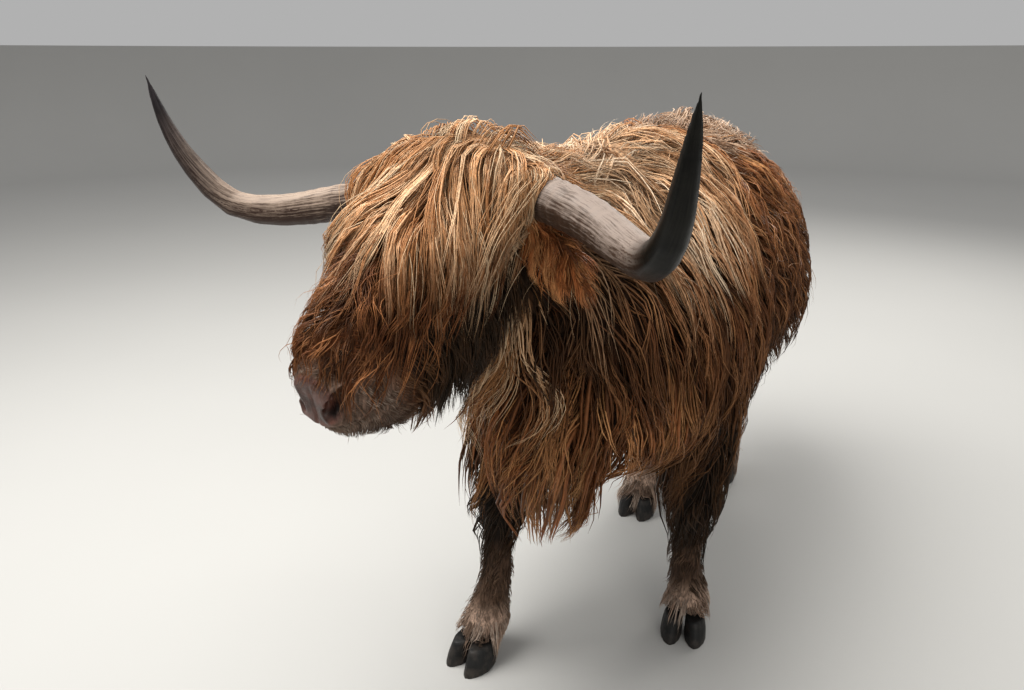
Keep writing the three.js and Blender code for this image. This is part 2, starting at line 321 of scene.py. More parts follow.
def add_copy(whole: bmesh.types.BMesh, one: bmesh.types.BMesh) -> None:
    """Adds one bmesh to another and frees it."""
    copy = bpy.data.meshes.new("copy")
    one.to_mesh(copy)
    one.free()
    whole.from_mesh(copy)
    bpy.data.meshes.remove(copy)


def merged(nodes: dict[str, bpy.types.Object], names: list[str], grow: float = 0.0) -> bmesh.types.BMesh:
    """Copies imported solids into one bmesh, their loose triangles joined.

    Args:
        nodes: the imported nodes.
        names: those to copy.
        grow: how far each solid swells, so that neighbours overlap.

    Returns:
        The bmesh, which the caller frees.
    """
    whole = bmesh.new()
    for name in names:
        one = bmesh.new()
        one.from_mesh(nodes[name].data)
        bmesh.ops.remove_doubles(one, verts=one.verts, dist=2e-5)
        one.normal_update()
        for vert in one.verts:
            vert.co += vert.normal * grow
        add_copy(whole, one)
    return whole


def remeshed(name: str, shape: bmesh.types.BMesh, voxel: float) -> bpy.types.Mesh:
    """Joins overlapping closed shapes into one surface of even squares.

    Args:
        name: the new mesh's name.
        shape: the closed shapes, freed here.
        voxel: the length of a square's side.

    Returns:
        The mesh of the largest surface.
    """
    rough = bpy.data.meshes.new(name + "_rough")
    shape.to_mesh(rough)
    shape.free()
    holder = show(name + "_rough", rough)
    step = holder.modifiers.new("join", "REMESH")
    step.mode = "VOXEL"
    step.voxel_size = voxel
    step.adaptivity = 0.0
    graph = bpy.context.evaluated_depsgraph_get()
    mesh = bpy.data.meshes.new_from_object(holder.evaluated_get(graph))
    bpy.data.objects.remove(holder)
    bpy.data.meshes.remove(rough)
    mesh.name = name
    return largest_only(mesh)


def largest_only(mesh: bpy.types.Mesh) -> bpy.types.Mesh:
    """Deletes every loose surface but the one with most vertices."""
    ends = np.empty(len(mesh.edges) * 2, np.int64)
    mesh.edges.foreach_get("vertices", ends)
    a, b = ends.reshape(-1, 2).T
    label = np.arange(len(mesh.vertices))
    while True:
        low = np.minimum(label[a], label[b])
        fresh = label.copy()
        np.minimum.at(fresh, a, low)
        np.minimum.at(fresh, b, low)
        fresh = fresh[fresh]
        if (fresh == label).all():
            break
        label = fresh
    keep = np.bincount(label).argmax()
    if (label != keep).any():
        shape = bmesh.new()
        shape.from_mesh(mesh)
        shape.verts.ensure_lookup_table()
        loose = [shape.verts[i] for i in np.nonzero(label != keep)[0]]
        bmesh.ops.delete(shape, geom=loose, context="VERTS")
        shape.to_mesh(mesh)
        shape.free()
    return mesh


# ---------------------------------------------------------------- markings


@dataclass(frozen=True)
class Shades:
    """The colours of one area's hair, from its dark locks to its pale ones."""

    dark: Colour
    middle: Colour
    pale: Colour

    def rows(self, count: int) -> np.ndarray:
        """The three colours repeated, as an array of count by 3 by 3."""
        return np.tile(np.array([self.dark, self.middle, self.pale]), (count, 1, 1))


def picked(rows: np.ndarray, tone: np.ndarray) -> np.ndarray:
    """Reads colours out of rows of three shades.

    Args:
        rows: count by 3 by 3, from dark to pale.
        tone: a number from 0 to 1 for each row.

    Returns:
        A colour for each row.
    """
    t = np.clip(tone, 0.0, 1.0)[:, None] * 2.0
    low = mix(rows[:, 0], rows[:, 1], np.clip(t, 0.0, 1.0))
    return mix(low, rows[:, 2], np.clip(t - 1.0, 0.0, 1.0))


GOLD = Shades((0.24, 0.092, 0.030), (0.58, 0.290, 0.125), (0.88, 0.66, 0.43))
COPPER = Shades((0.095, 0.030, 0.010), (0.32, 0.112, 0.038), (0.60, 0.30, 0.120))
CHESTNUT = Shades((0.024, 0.008, 0.003), (0.115, 0.040, 0.014), (0.37, 0.170, 0.070))
UMBER = Shades((0.006, 0.0025, 0.001), (0.026, 0.010, 0.004), (0.095, 0.042, 0.017))
RUSSET = Shades((0.026, 0.007, 0.0025), (0.135, 0.042, 0.014), (0.40, 0.165, 0.062))
FAWN = Shades((0.13, 0.062, 0.032), (0.41, 0.245, 0.150), (0.74, 0.55, 0.40))
STRAW = Shades((0.40, 0.190, 0.085), (0.78, 0.480, 0.270), (0.92, 0.75, 0.56))
GINGER = Shades((0.090, 0.024, 0.007), (0.38, 0.120, 0.036), (0.70, 0.33, 0.130))
SHANK = Shades((0.022, 0.011, 0.006), (0.055, 0.030, 0.018), (0.145, 0.088, 0.058))
PASTERN = Shades((0.17, 0.104, 0.070), (0.40, 0.275, 0.205), (0.66, 0.54, 0.45))
LIP = Shades((0.034, 0.018, 0.011), (0.150, 0.094, 0.068), (0.42, 0.325, 0.255))
# painted shade: a near-black brown that stands for the shadow on the cheeks under the forelock, on the belly
# and on the upper legs
PAINTED_SHADE = Shades((0.003, 0.0013, 0.0006), (0.013, 0.0055, 0.0023), (0.055, 0.025, 0.011))


class Markings:
    """The colours of the animal, area by area, for the skin and the coat alike, with painted shade low on the
    trunk, round the ears, on the cheeks, belly and upper legs, and painted light towards the crest.
    """

    plain: dict[Area, Shades] = {
        Area.POLL: GOLD,
        Area.BRIDGE: RUSSET,
        Area.CHEEK: PAINTED_SHADE,
        Area.EAR: GINGER,
        Area.MUZZLE: LIP,
        Area.MANE: CHESTNUT,
        Area.BREAST: CHESTNUT,
        Area.FLANK: CHESTNUT,
        Area.BACK: FAWN,
        Area.RUMP: COPPER,
        Area.BELLY: PAINTED_SHADE,
        Area.UPPER_LEG: PAINTED_SHADE,
        Area.LOWER_LEG: SHANK,
        Area.TAIL: CHESTNUT,
        Area.NAPE: GOLD,
        Area.THROAT: GOLD,
    }

    def shades(self, area: np.ndarray, points: np.ndarray) -> np.ndarray:
        """The three shades at each place on the hide.

        Args:
            area: the value of the Area of each place.
            points: rows of places.

        Returns:
            count by 3 by 3, from dark to pale.
        """
        table = np.array([self.plain[kind].rows(1)[0] for kind in Area])
        rows = table[area]
        height = points[:, 2]
        trunk = np.isin(area, [Area.MANE.value, Area.FLANK.value, Area.BREAST.value, Area.RUMP.value])
        # partly painted light: the hair turns paler and golder towards the crest of the neck and back, partly
        # the coat's own paler tone there and partly the light that falls on the top
        crest = trunk * ease(0.90, 1.13, height)
        ahead = ease(0.12, -0.28, points[:, 1])
        rows = self.towards(rows, COPPER, crest)
        rows = self.towards(rows, GOLD, crest * ease(0.98, 1.12, height) * ahead)
        rows = self.towards(rows, STRAW, crest * ease(0.96, 1.07, height) * ease(-0.02, -0.34, points[:, 1]))
        rows = self.towards(rows, FAWN, crest * ease(1.02, 1.15, height) * ease(0.25, 0.6, points[:, 1]))
        # painted shade: the trunk's hair turns dark umber towards its lower half
        rows = self.towards(rows, UMBER, trunk * ease(0.90, 0.64, height) * 0.68)
        breast = np.isin(area, [Area.BREAST.value])
        rows = self.towards(rows, COPPER, breast * ease(-0.22, -0.42, points[:, 1]) * 0.75)
        cheek = np.isin(area, [Area.CHEEK.value])
        spot = HEAD.local(points)
        rows = self.towards(rows, RUSSET, cheek * ease(-0.02, 0.02, spot[:, 1]) * 0.7)
        rows = self.towards(rows, CHESTNUT, cheek * ease(0.27, 0.37, spot[:, 0]) * 0.7)
        muzzle = np.isin(area, [Area.MUZZLE.value])
        rows = self.towards(rows, UMBER, muzzle * ease(-0.120, -0.165, spot[:, 1]) * 0.6)
        rows = self.towards(rows, CHESTNUT, muzzle * ease(0.385, 0.345, spot[:, 0]) * 0.8)
        bridge_end = ease(0.425, 0.385, spot[:, 0]) * ease(-0.075, -0.045, spot[:, 1])
        rows = self.towards(rows, RUSSET, muzzle * bridge_end)
        # painted shade: the neck's hair darkens round and below each ear
        for side in Side:
            away = np.linalg.norm(points - HEAD.point(0.085, -0.15, 0.215 * side.value), axis=1)
            rows = self.towards(rows, UMBER, trunk * ease(0.26, 0.15, away) * 0.6)
        shank = np.isin(area, [Area.LOWER_LEG.value])
        rows = self.towards(rows, PASTERN, shank * ease(0.150, 0.095, height))
        rows = self.towards(rows, PASTERN, shank * ease(0.33, 0.24, height) * (points[:, 1] > 0.3) * 0.8)
        return rows

    @staticmethod
    def towards(rows: np.ndarray, shades: Shades, share: np.ndarray) -> np.ndarray:
        """Moves each row's shades towards another set by a share."""
        return rows + (shades.rows(1) - rows) * share[:, None, None]


# ---------------------------------------------------------------- the skin

PAD_CENTRE = (0.452, -0.066, 0.0)
PAD_REACH = (0.030, 0.046, 0.054)
NOSTRIL_PATH = (
    (0.448, -0.084, 0.031, 0.0125),
    (0.442, -0.074, 0.040, 0.0135),
    (0.434, -0.064, 0.048, 0.0115),
    (0.424, -0.057, 0.056, 0.0080),
    (0.413, -0.054, 0.061, 0.0045),
)


@dataclass(frozen=True)
class Bulge:
    """A rounded swelling in the head's axes, under the coat, in the coat, or both.

    Attributes:
        place: down the face, out of the brow and to the left.
        reach: half its sizes along the same axes, out to the tips of the coat.
        cover: how thick the coat on it is, or None where it's all hair.
    """

    place: Triple
    reach: Triple
    cover: float | None = None

    def add(self, shape: bmesh.types.BMesh, bare: bool) -> None:
        """Adds the swelling, with its coat or bare."""
        if bare and self.cover is None:
            return
        reach = [value - (self.cover if bare else 0.0) for value in self.reach]
        turn = Matrix([HEAD.face_line, HEAD.brow, HEAD.left]).transposed().to_4x4()
        size = Matrix.Diagonal((*reach, 1.0))
        spot = Matrix.Translation(HEAD.point(*self.place))
        bmesh.ops.create_icosphere(shape, subdivisions=4, radius=1.0, matrix=spot @ turn @ size)


BULGES = (
    Bulge((0.010, -0.014, 0.0), (0.096, 0.078, 0.172), 0.016),
    Bulge((-0.030, -0.098, 0.0), (0.110, 0.084, 0.160), 0.022),
    Bulge((0.265, -0.262, 0.0), (0.115, 0.075, 0.054)),
    *(Bulge((*HORN_ROOT[:2], HORN_ROOT[2] * side), HORN_ROOT_REACH, 0.013) for side in (1, -1)),
    Bulge((0.135, -0.010, -0.115), (0.118, 0.056, 0.054)),
    Bulge((0.062, -0.012, -0.168), (0.062, 0.044, 0.046)),
)
FLESH = (
    ["trunk", "neck", "head", "muzzle", "lower_jaw", "tail_dock"]
    + [leg + part for leg in LEGS for part in ("_upper", "_lower")]
)
EARS = ["ear_left", "ear_right"]
HANGING = ["forelock", "breast_hair", "tail_switch"]


@dataclass
class Hide:
    """The one skin under the coat, and the outline that the coat fills.

    Attributes:
        nodes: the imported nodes.
        voxel: the side of the skin's squares.
        swell: how far solids grow before they are joined.
    """

    nodes: dict[str, bpy.types.Object]
    voxel: float = 0.0100
    outline_voxel: float = 0.012
    swell: float = 0.0008
    claw_cover: float = 0.010
    ear_cover: float = 0.026
    muzzle_cover: float = 0.006
    shank_cover: float = 0.010
    pastern_reach: Triple = (0.014, 0.014, 0.052)
    markings: Markings = field(default_factory=Markings)

    def outline(self) -> BVHTree:
        """The surface that the tips of the coat reach, but for the ears, as a search tree."""
        shape = merged(self.nodes, FLESH + HANGING, self.swell)
        for leg in LEGS:
            self.add_feather(shape, leg)
        add_copy(shape, merged(self.nodes, ["muzzle", "lower_jaw"], self.muzzle_cover))
        for bulge in BULGES:
            bulge.add(shape, bare=False)
        return self.tree_round(shape)

    def ear_outline(self, side: Side) -> BVHTree:
        """The surface that the tips of an ear's hair reach, as a search tree."""
        return self.tree_round(merged(self.nodes, [f"ear_{side.word}"], self.ear_cover))

    def tree_round(self, shape: bmesh.types.BMesh) -> BVHTree:
        """Melts solids into one smooth surface and makes a search tree of it."""
        mesh = remeshed("outline", shape, self.outline_voxel)
        place(mesh, Relaxer(mesh).relax(coords(mesh), 4))
        tree = tree_of(mesh)
        bpy.data.meshes.remove(mesh)
        return tree

    def add_feather(self, shape: bmesh.types.BMesh, leg: str) -> None:
        """Adds the shank's fur and the long fur that hangs over the claws.

        Args:
            shape: the bmesh that gets them.
            leg: whose.
        """
        for parts, cover in ((CLAWS, self.claw_cover), (("lower",), self.shank_cover)):
            add_copy(shape, merged(self.nodes, [f"{leg}_{part}" for part in parts], cover))
        low, high = (np.array(corner) for corner in self.claw_box(leg))
        more_x, more_y, rise = self.pastern_reach
        half = (high - low) / 2.0
        size = Matrix.Diagonal((half[0] + more_x, half[1] + more_y, rise, 1.0))
        spot = Matrix.Translation((*((low + high) / 2.0)[:2], 0.068))
        bmesh.ops.create_icosphere(shape, subdivisions=3, radius=1.0, matrix=spot @ size)

    @staticmethod
    def claw_box(leg: str) -> tuple[list[float], list[float]]:
        """The lowest and highest corner of the box round a leg's two big claws."""
        boxes = [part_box(f"{leg}_{claw}") for claw in CLAWS[:2]]
        low = [min(box[0][k] for box in boxes) for k in range(3)]
        high = [max(box[1][k] for box in boxes) for k in range(3)]
        return low, high

    def build(self) -> bpy.types.Object:
        """Makes the skin piece.

        Returns:
            The piece, with its attributes area, hide_colour, pad and fur.
        """
        owner = Owners(self.nodes, FLESH + EARS)
        shape = merged(self.nodes, FLESH, self.swell)
        for side in Side:
            self.add_ear(shape, side)
            self.plug_nostril(shape, side)
        for bulge in BULGES:
            bulge.add(shape, bare=True)
        mesh = remeshed("skin", shape, self.voxel)
        self.draw_in(mesh, owner)
        body = bmesh.new()
        body.from_mesh(mesh)
        bpy.data.meshes.remove(mesh)
        mesh = remeshed("skin", body, self.voxel)
        place(mesh, Relaxer(mesh).relax(coords(mesh), 2, 0.4))
        self.refine(mesh)
        self.sculpt_muzzle(mesh)
        for side in Side:
            self.sculpt_lids(mesh, side)
        self.sculpt_limbs(mesh)
        self.mark(mesh, owner)
        return show("skin", smooth_shaded(mesh))

    def add_ear(self, shape: bmesh.types.BMesh, side: Side) -> None:
        """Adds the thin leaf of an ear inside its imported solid.

        Args:
            shape: the bmesh that gets the leaf.
            side: whose ear.
        """
        leaf = merged(self.nodes, [f"ear_{side.word}"])
        points = np.array([v.co[:] for v in leaf.verts])
        middle = points.mean(0)
        long_axis = unit(HEAD.left * side.value * 0.166 - UP * 0.126)
        thin_axis = unit(HEAD.facing + HEAD.left * side.value * 0.25)
        wide_axis = np.cross(thin_axis, long_axis)
        for vert, point in zip(leaf.verts, points):
            a, b, c = (point - middle) @ np.array([long_axis, thin_axis, wide_axis]).T
            cup = 0.008 * (1.0 - (c / 0.045) ** 2)
            drawn = long_axis * (a * 0.86 - 0.012)
            vert.co = middle + drawn + thin_axis * (b * 0.24 - cup) + wide_axis * c * 0.62
        add_copy(shape, leaf)

    def plug_nostril(self, shape: bmesh.types.BMesh, side: Side) -> None:
        """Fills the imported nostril, so that a finer one can be cut later."""
        down, out, left, _ = NOSTRIL_PATH[1]
        spot = HEAD.point(down - 0.022, out - 0.002, (left - 0.008) * side.value)
        bmesh.ops.create_icosphere(shape, subdivisions=3, radius=0.029, matrix=Matrix.Translation(spot))

    def draw_in(self, mesh: bpy.types.Mesh, owner: Owners) -> None:
        """Moves the joined surface inwards by the depth of the coat.

        Args:
            mesh: the joined surface.
            owner: tells which solid a place belongs to.
        """
        points, out = coords(mesh), normals(mesh)
        relaxer = Relaxer(mesh)
        depth = self.coat_depth(owner.names(points), points, out)
        depth = relaxer.relax(depth[:, None], 14)
        share = 0.04 + 0.36 * ease(0.010, 0.035, depth)
        rounds = 10
        for _ in range(rounds):
            points = relaxer.relax(points - normals(mesh) * depth / rounds, 1, share)
            place(mesh, points)

    def coat_depth(self, names: np.ndarray, points: np.ndarray, out: np.ndarray) -> np.ndarray:
        """How far under the outline the skin lies at each place.

        Args:
            names: the solid that each place belongs to.
            points: the places.
            out: the normals there.

        Returns:
            Depths in metres.
        """
        under = np.clip(-out[:, 2], 0.0, 1.0)
        over = np.clip(out[:, 2], 0.0, 1.0)
        depth = np.full(len(points), 0.010)
        flat = {"trunk": 0.044, "neck": 0.052, "head": 0.012, "muzzle": 0.0015, "lower_jaw": 0.006}
        for name, value in flat.items():
            depth[names == name] = value
        trunk, neck, head = names == "trunk", names == "neck", names == "head"
        depth[trunk] += (0.075 * under - 0.008 * over)[trunk]
        depth[neck] += (0.040 * under)[neck]
        depth[head] += (0.032 * under)[head]
        depth[names == "tail_dock"] = 0.014
        for part, value in (("_upper", 0.028), ("_lower", 0.001)):
            depth[np.char.endswith(names, part)] = value
        depth[np.char.startswith(names, "ear")] = 0.0005
        return depth

    def refine(self, mesh: bpy.types.Mesh) -> None:
        """Splits the squares of the nose and round the eyes to about a quarter of their side."""
        shape = bmesh.new()
        shape.from_mesh(mesh)
        for bounds, eye_bound in ((0.345, 0.046), (0.365, 0.036)):
            points = np.array([v.co[:] for v in shape.verts])
            spot = HEAD.local(points)
            wanted = (spot[:, 0] > bounds) & (np.abs(spot[:, 2]) < 0.12)
            for side in Side:
                eye = eye_middle(side)
                wanted |= np.linalg.norm(points - eye, axis=1) < eye_bound
            chosen = set(np.nonzero(wanted)[0].tolist())
            edges = [e for e in shape.edges if e.verts[0].index in chosen and e.verts[1].index in chosen]
            bmesh.ops.subdivide_edges(shape, edges=edges, cuts=1, use_grid_fill=True)
            shape.verts.index_update()
            points = np.array([v.co[:] for v in shape.verts])
            spot = HEAD.local(points)
            near = (spot[:, 0] > bounds - 0.02) & (np.abs(spot[:, 2]) < 0.12)
            shape.verts.ensure_lookup_table()
            soft = [shape.verts[i] for i in np.nonzero(near)[0]]
            for _ in range(2):
                bmesh.ops.smooth_vert(
                    shape, verts=soft, factor=0.5, use_axis_x=True, use_axis_y=True, use_axis_z=True
                )
        shape.to_mesh(mesh)
        shape.free()
        mesh.update()

    def sculpt_muzzle(self, mesh: bpy.types.Mesh) -> None:
        """Cuts the nostrils, the lips and the groove of the nose."""
        points, out = coords(mesh), normals(mesh)
        relaxer = Relaxer(mesh)
        out = unit(relaxer.relax(out, 3))
        spot = HEAD.local(points)
        down, rise, left = spot.T
        nose = ease(0.36, 0.385, down)
        shift = np.zeros(len(points))
        shift += 0.004 * nose * self.pad_mask(spot)
        shift += 0.008 * ease(0.39, 0.43, down) * bell(rise + 0.035, 0.030)
        shift -= 0.0030 * nose * bell(left, 0.0035) * ease(-0.045, -0.065, rise) * ease(-0.122, -0.108, rise)
        lip_line = -0.117 - 0.010 * ease(0.43, 0.36, down)
        groove = bell(rise - lip_line, 0.0045) * ease(0.350, 0.372, down)
        shift -= 0.0080 * groove
        shift += 0.0035 * bell(rise - lip_line - 0.012, 0.009) * nose
        shift += 0.0030 * bell(rise - lip_line + 0.013, 0.009) * nose
        points = points + out * shift[:, None]
        for side in Side:
            points = self.cut_nostril(points, side)
        soft = ease(0.36, 0.40, down)[:, None] * 0.4
        place(mesh, relaxer.relax(points, 1, soft))

    @staticmethod
    def pad_mask(spot: np.ndarray) -> np.ndarray:
        """How far each place is bare nose rather than fur, from 0 to 1."""
        away = np.sqrt((((spot - np.array(PAD_CENTRE)) / np.array(PAD_REACH)) ** 2).sum(1))
        return ease(1.12, 0.90, away)

    @staticmethod
    def nostril_gap(spot: np.ndarray, side: Side) -> np.ndarray:
        """The distance of each place from the nostril's edge, negative inside."""
        gaps = [
            np.linalg.norm(spot - np.array([down, out, left * side.value]), axis=1) - radius
            for down, out, left, radius in NOSTRIL_PATH
        ]
        return np.min(gaps, axis=0)

    def cut_nostril(self, points: np.ndarray, side: Side) -> np.ndarray:
        """Pushes the nostril in and raises its rim.

        Args:
            points: the skin's vertices.
            side: whose nostril.

        Returns:
            The moved vertices.
        """
        gap = self.nostril_gap(HEAD.local(points), side)
        inward = unit(-0.75 * HEAD.face_line - 0.55 * HEAD.left * side.value + 0.15 * HEAD.brow)
        sink = 0.034 * ease(0.0035, -0.0065, gap)
        rim = 0.0036 * bell(gap - 0.0060, 0.0050)
        return points + inward * (sink - rim)[:, None]

    def sculpt_lids(self, mesh: bpy.types.Mesh, side: Side) -> None:
        """Wraps lids round an eye and opens them in an almond shape."""
        points = coords(mesh)
        eye = eye_middle(side)
        away = points - eye
        reach = np.linalg.norm(away, axis=1)
        gaze = unit(HEAD.left * side.value + 0.35 * HEAD.face_line + 0.12 * HEAD.brow)
        fore = unit(HEAD.face_line - gaze * (HEAD.face_line @ gaze))
        top = np.cross(fore, gaze) * side.value
        top = top * math.copysign(1.0, float(top @ HEAD.brow))
        a, b, c = away @ fore, away @ top, away @ gaze
        front = c > -0.004
        ball = (EYE_RADIUS + 0.0026) * unit(away) + eye
        lids = ease(0.036, 0.021, np.hypot(a, b)) * front * (reach < 0.05)
        points = mix(points, ball, lids[:, None])
        fold = bell(np.hypot(a, b * 1.15) - 0.0235, 0.0028) * front * (reach < 0.05)
        points = points - gaze * (0.0022 * fold)[:, None]
        almond = (a / 0.0155) ** 2 + (b / 0.0085) ** 2
        opening = ease(1.25, 0.80, almond) * front * (reach < 0.05)
        points = points - gaze * (0.0120 * opening)[:, None]
        rim = bell(np.sqrt(almond) - 1.22, 0.13) * front * (reach < 0.05)
        points = points + gaze * (0.0018 * rim)[:, None]
        place(mesh, points)

    def sculpt_limbs(self, mesh: bpy.types.Mesh) -> None:
        """Firms the knees, hocks and fetlocks, whose shape shows through short fur."""
        points, out = coords(mesh), normals(mesh)
        low = points[:, 2]
        shift = 0.0035 * bell(low - 0.315, 0.035) - 0.0030 * bell(low - 0.235, 0.035)
        shift += 0.0030 * bell(low - 0.105, 0.022) - 0.0025 * bell(low - 0.072, 0.012)
        place(mesh, points + out * (shift * ease(0.46, 0.38, low) * ease(0.02, 0.05, low))[:, None])

    def mark(self, mesh: bpy.types.Mesh, owner: Owners) -> None:
        """Stores the area, the colour with its painted shade and light, and the kind of surface at each
        vertex.
        """
        points, out = coords(mesh), normals(mesh)
        area = areas(owner.names(points), points, out)
        spot = HEAD.local(points)
        pad = self.pad_mask(spot)
        holes = [self.nostril_gap(spot, side) for side in Side]
        hole = ease(0.002, -0.006, np.min(holes, axis=0))
        relaxer = Relaxer(mesh)
        rows = self.markings.shades(area, points)
        bare = np.isin(area, [Area.LOWER_LEG.value, Area.MUZZLE.value]).astype(float)
        # painted shade: the furred skin is kept at under half its hair's tone so that it reads as shadow
        # between the strands; high on the crest, where it faces up, it is painted lighter
        crest = np.clip(out[:, 2], 0.0, 1.0) * ease(0.95, 1.10, points[:, 2]) * (1.0 - bare)
        depth = 0.42 + 0.48 * bare + 0.08 * crest
        colour = picked(rows, 0.10 + 0.38 * bare + 0.36 * crest) * depth[:, None]
        colour = relaxer.relax(colour, 8)
        pink = np.array([0.112, 0.043, 0.031])
        colour = mix(colour, pink, pad[:, None])
        # painted shade: the inside of each nostril is painted near-black
        colour = mix(colour, np.array([0.010, 0.005, 0.005]), hole[:, None])
        for side in Side:
            eye = eye_middle(side)
            lid = bell(np.linalg.norm(points - eye, axis=1), 0.026)
            colour = mix(colour, np.array([0.012, 0.008, 0.007]), lid[:, None])
        mesh.attributes.new("area", "INT", "POINT").data.foreach_set("value", area.astype(np.int32))
        write_colour(mesh, "hide_colour", np.clip(colour, 0.0, 1.0))
        write_value(mesh, "pad", np.maximum(pad, hole))
        write_value(mesh, "fur", 1.0 - np.maximum(pad, hole))
        write_value(mesh, "crest", ease(0.35, 0.85, out[:, 2]))


class Owners:
    """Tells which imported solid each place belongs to."""

    def __init__(self, nodes: dict[str, bpy.types.Object], names: list[str]) -> None:
        """Joins the solids' faces into one search tree."""
        corners, faces, owners = [], [], []
        for name in names:
            mesh = nodes[name].data
            start = len(corners)
            corners += [v.co for v in mesh.vertices]
            faces += [[start + i for i in p.vertices] for p in mesh.polygons]
            owners += [name] * len(mesh.polygons)
        self.tree = BVHTree.FromPolygons(corners, faces)
        self.owners = np.array(owners)

    def names(self, points: np.ndarray) -> np.ndarray:
        """The name of the solid nearest to each point."""
        return self.owners[[self.tree.find_nearest(p)[2] for p in points.tolist()]]


def areas(names: np.ndarray, points: np.ndarray, out: np.ndarray) -> np.ndarray:
    """Sorts places on the hide into areas of the coat.

    Args:
        names: the solid that each place belongs to.
        points: the places.
        out: the normals there.

    Returns:
        The value of an Area for each place.
    """
    blur = np.random.default_rng(77).normal(0.0, 1.0, (len(points), 3))
    points = points + blur * 0.030
    out = out + blur * 0.05
    y, z = points[:, 1], points[:, 2]
    spot = HEAD.local(points - blur * 0.018)
    area = np.full(len(points), Area.FLANK.value)
    trunk, neck = names == "trunk", names == "neck"
    area[trunk & (y < -0.02)] = Area.MANE.value
    area[trunk & (y > 0.66)] = Area.RUMP.value
    area[trunk & (out[:, 2] > 0.74) & (y > 0.02)] = Area.BACK.value
    area[trunk & (out[:, 2] < -0.42)] = Area.BELLY.value
    area[neck] = Area.MANE.value
    facing_ahead = (out[:, 1] < -0.30) | (out[:, 2] < -0.35)
    area[(trunk | neck) & (z < 0.86) & (y < -0.12) & facing_ahead] = Area.BREAST.value
    head = names == "head"
    area[head] = Area.CHEEK.value
    area[head & (spot[:, 1] > -0.075) & (spot[:, 0] > 0.13)] = Area.BRIDGE.value
    area[head & (spot[:, 0] < 0.14) & (spot[:, 1] > -0.085)] = Area.POLL.value
    parting = -0.018 + 0.05 * (1.0 - out[:, 2]) + 0.026 * blur[:, 1]
    area[head & (spot[:, 0] < parting) & (spot[:, 1] > -0.10)] = Area.NAPE.value
    low_rear = head & (np.abs(spot[:, 0] - 0.105) < 0.035) & (np.abs(spot[:, 1] + 0.250) < 0.045)
    area[low_rear & (np.abs(spot[:, 2]) > 0.03)] = Area.THROAT.value
    area[np.isin(names, ["muzzle", "lower_jaw"])] = Area.MUZZLE.value
    ear = np.char.startswith(names, "ear")
    area[ear] = Area.EAR.value
    aside = np.column_stack([spot[:, :2], np.abs(spot[:, 2])])
    cuff = np.linalg.norm(aside - HORN_ROOT, axis=1) < 0.078
    cuff &= ear & (out[:, 2] > -0.25)
    area[cuff] = np.where(spot[:, 0] > parting, Area.POLL.value, Area.NAPE.value)[cuff]
    area[names == "tail_dock"] = Area.TAIL.value
    area[(names == "tail_dock") & (z > TAIL_HEAD)] = Area.RUMP.value
    area[np.char.endswith(names, "_upper")] = Area.UPPER_LEG.value
    area[np.char.endswith(names, "_lower")] = Area.LOWER_LEG.value
    return area


# ---------------------------------------------------------------- the coat


@dataclass(frozen=True)
class Lay:
    """How the hair of one stretch of coat grows and lies.

    Attributes:
        locks: how many locks it gathers into.
        strands: how many strands it has.
        length: the shortest and longest strand, in metres.
        width: a strand's width at its middle.
        rings: how many rings of corners a strand has.
        gather: how far strands close up towards the lock's line at the tip.
        wave: how far a strand swings to each side.
        wave_length: the length of one swing there and back.
        fall, back, spread, face: the pull down, to the rear, away from the crest, and down the face.
        along: the pull along the ear.
        layer: how high in the coat the tips lie, lowest and highest.
        strays: the share of strands that leave their lock.
        darkness: how dark a strand starts at its root, partly the hair's own darker root and partly painted
            shade deep in the coat.
        rise: how far along its length a lock has risen to its layer.
        fellow: how much the strands of a lock differ in their waves.
        trim: how much shorter the hair is at the sides of the head.
        dusk: how much redder and darker the hair is low on the head, partly its own redder tone and partly
            painted shade.
        hem: the height at which the tips end, or 0.
        tousle: how far each lock leaves the common direction.
        tone: how much paler, or darker where negative, than its area.
    """

    locks: int
    strands: int
    length: tuple[float, float]
    width: float
    rings: int = 9
    gather: float = 0.5
    wave: float = 0.005
    wave_length: float = 0.09
    fall: float = 1.0
    back: float = 0.0
    spread: float = 0.0
    face: float = 0.0
    along: float = 0.0
    layer: tuple[float, float] = (0.35, 0.97)
    strays: float = 0.04
    darkness: float = 0.42
    rise: float = 0.35
    fellow: float = 0.30
    trim: float = 0.0
    dusk: float = 0.0
    hem: float = 0.0
    tousle: float = 0.14
    tone: float = 0.0


@dataclass
class Roots:
    """Places on the hide where hair grows."""

    points: np.ndarray
    out: np.ndarray
    area: np.ndarray

    def part(self, chosen: np.ndarray) -> Roots:
        """Those of the roots that are chosen by index or mask."""
        return Roots(self.points[chosen], self.out[chosen], self.area[chosen])


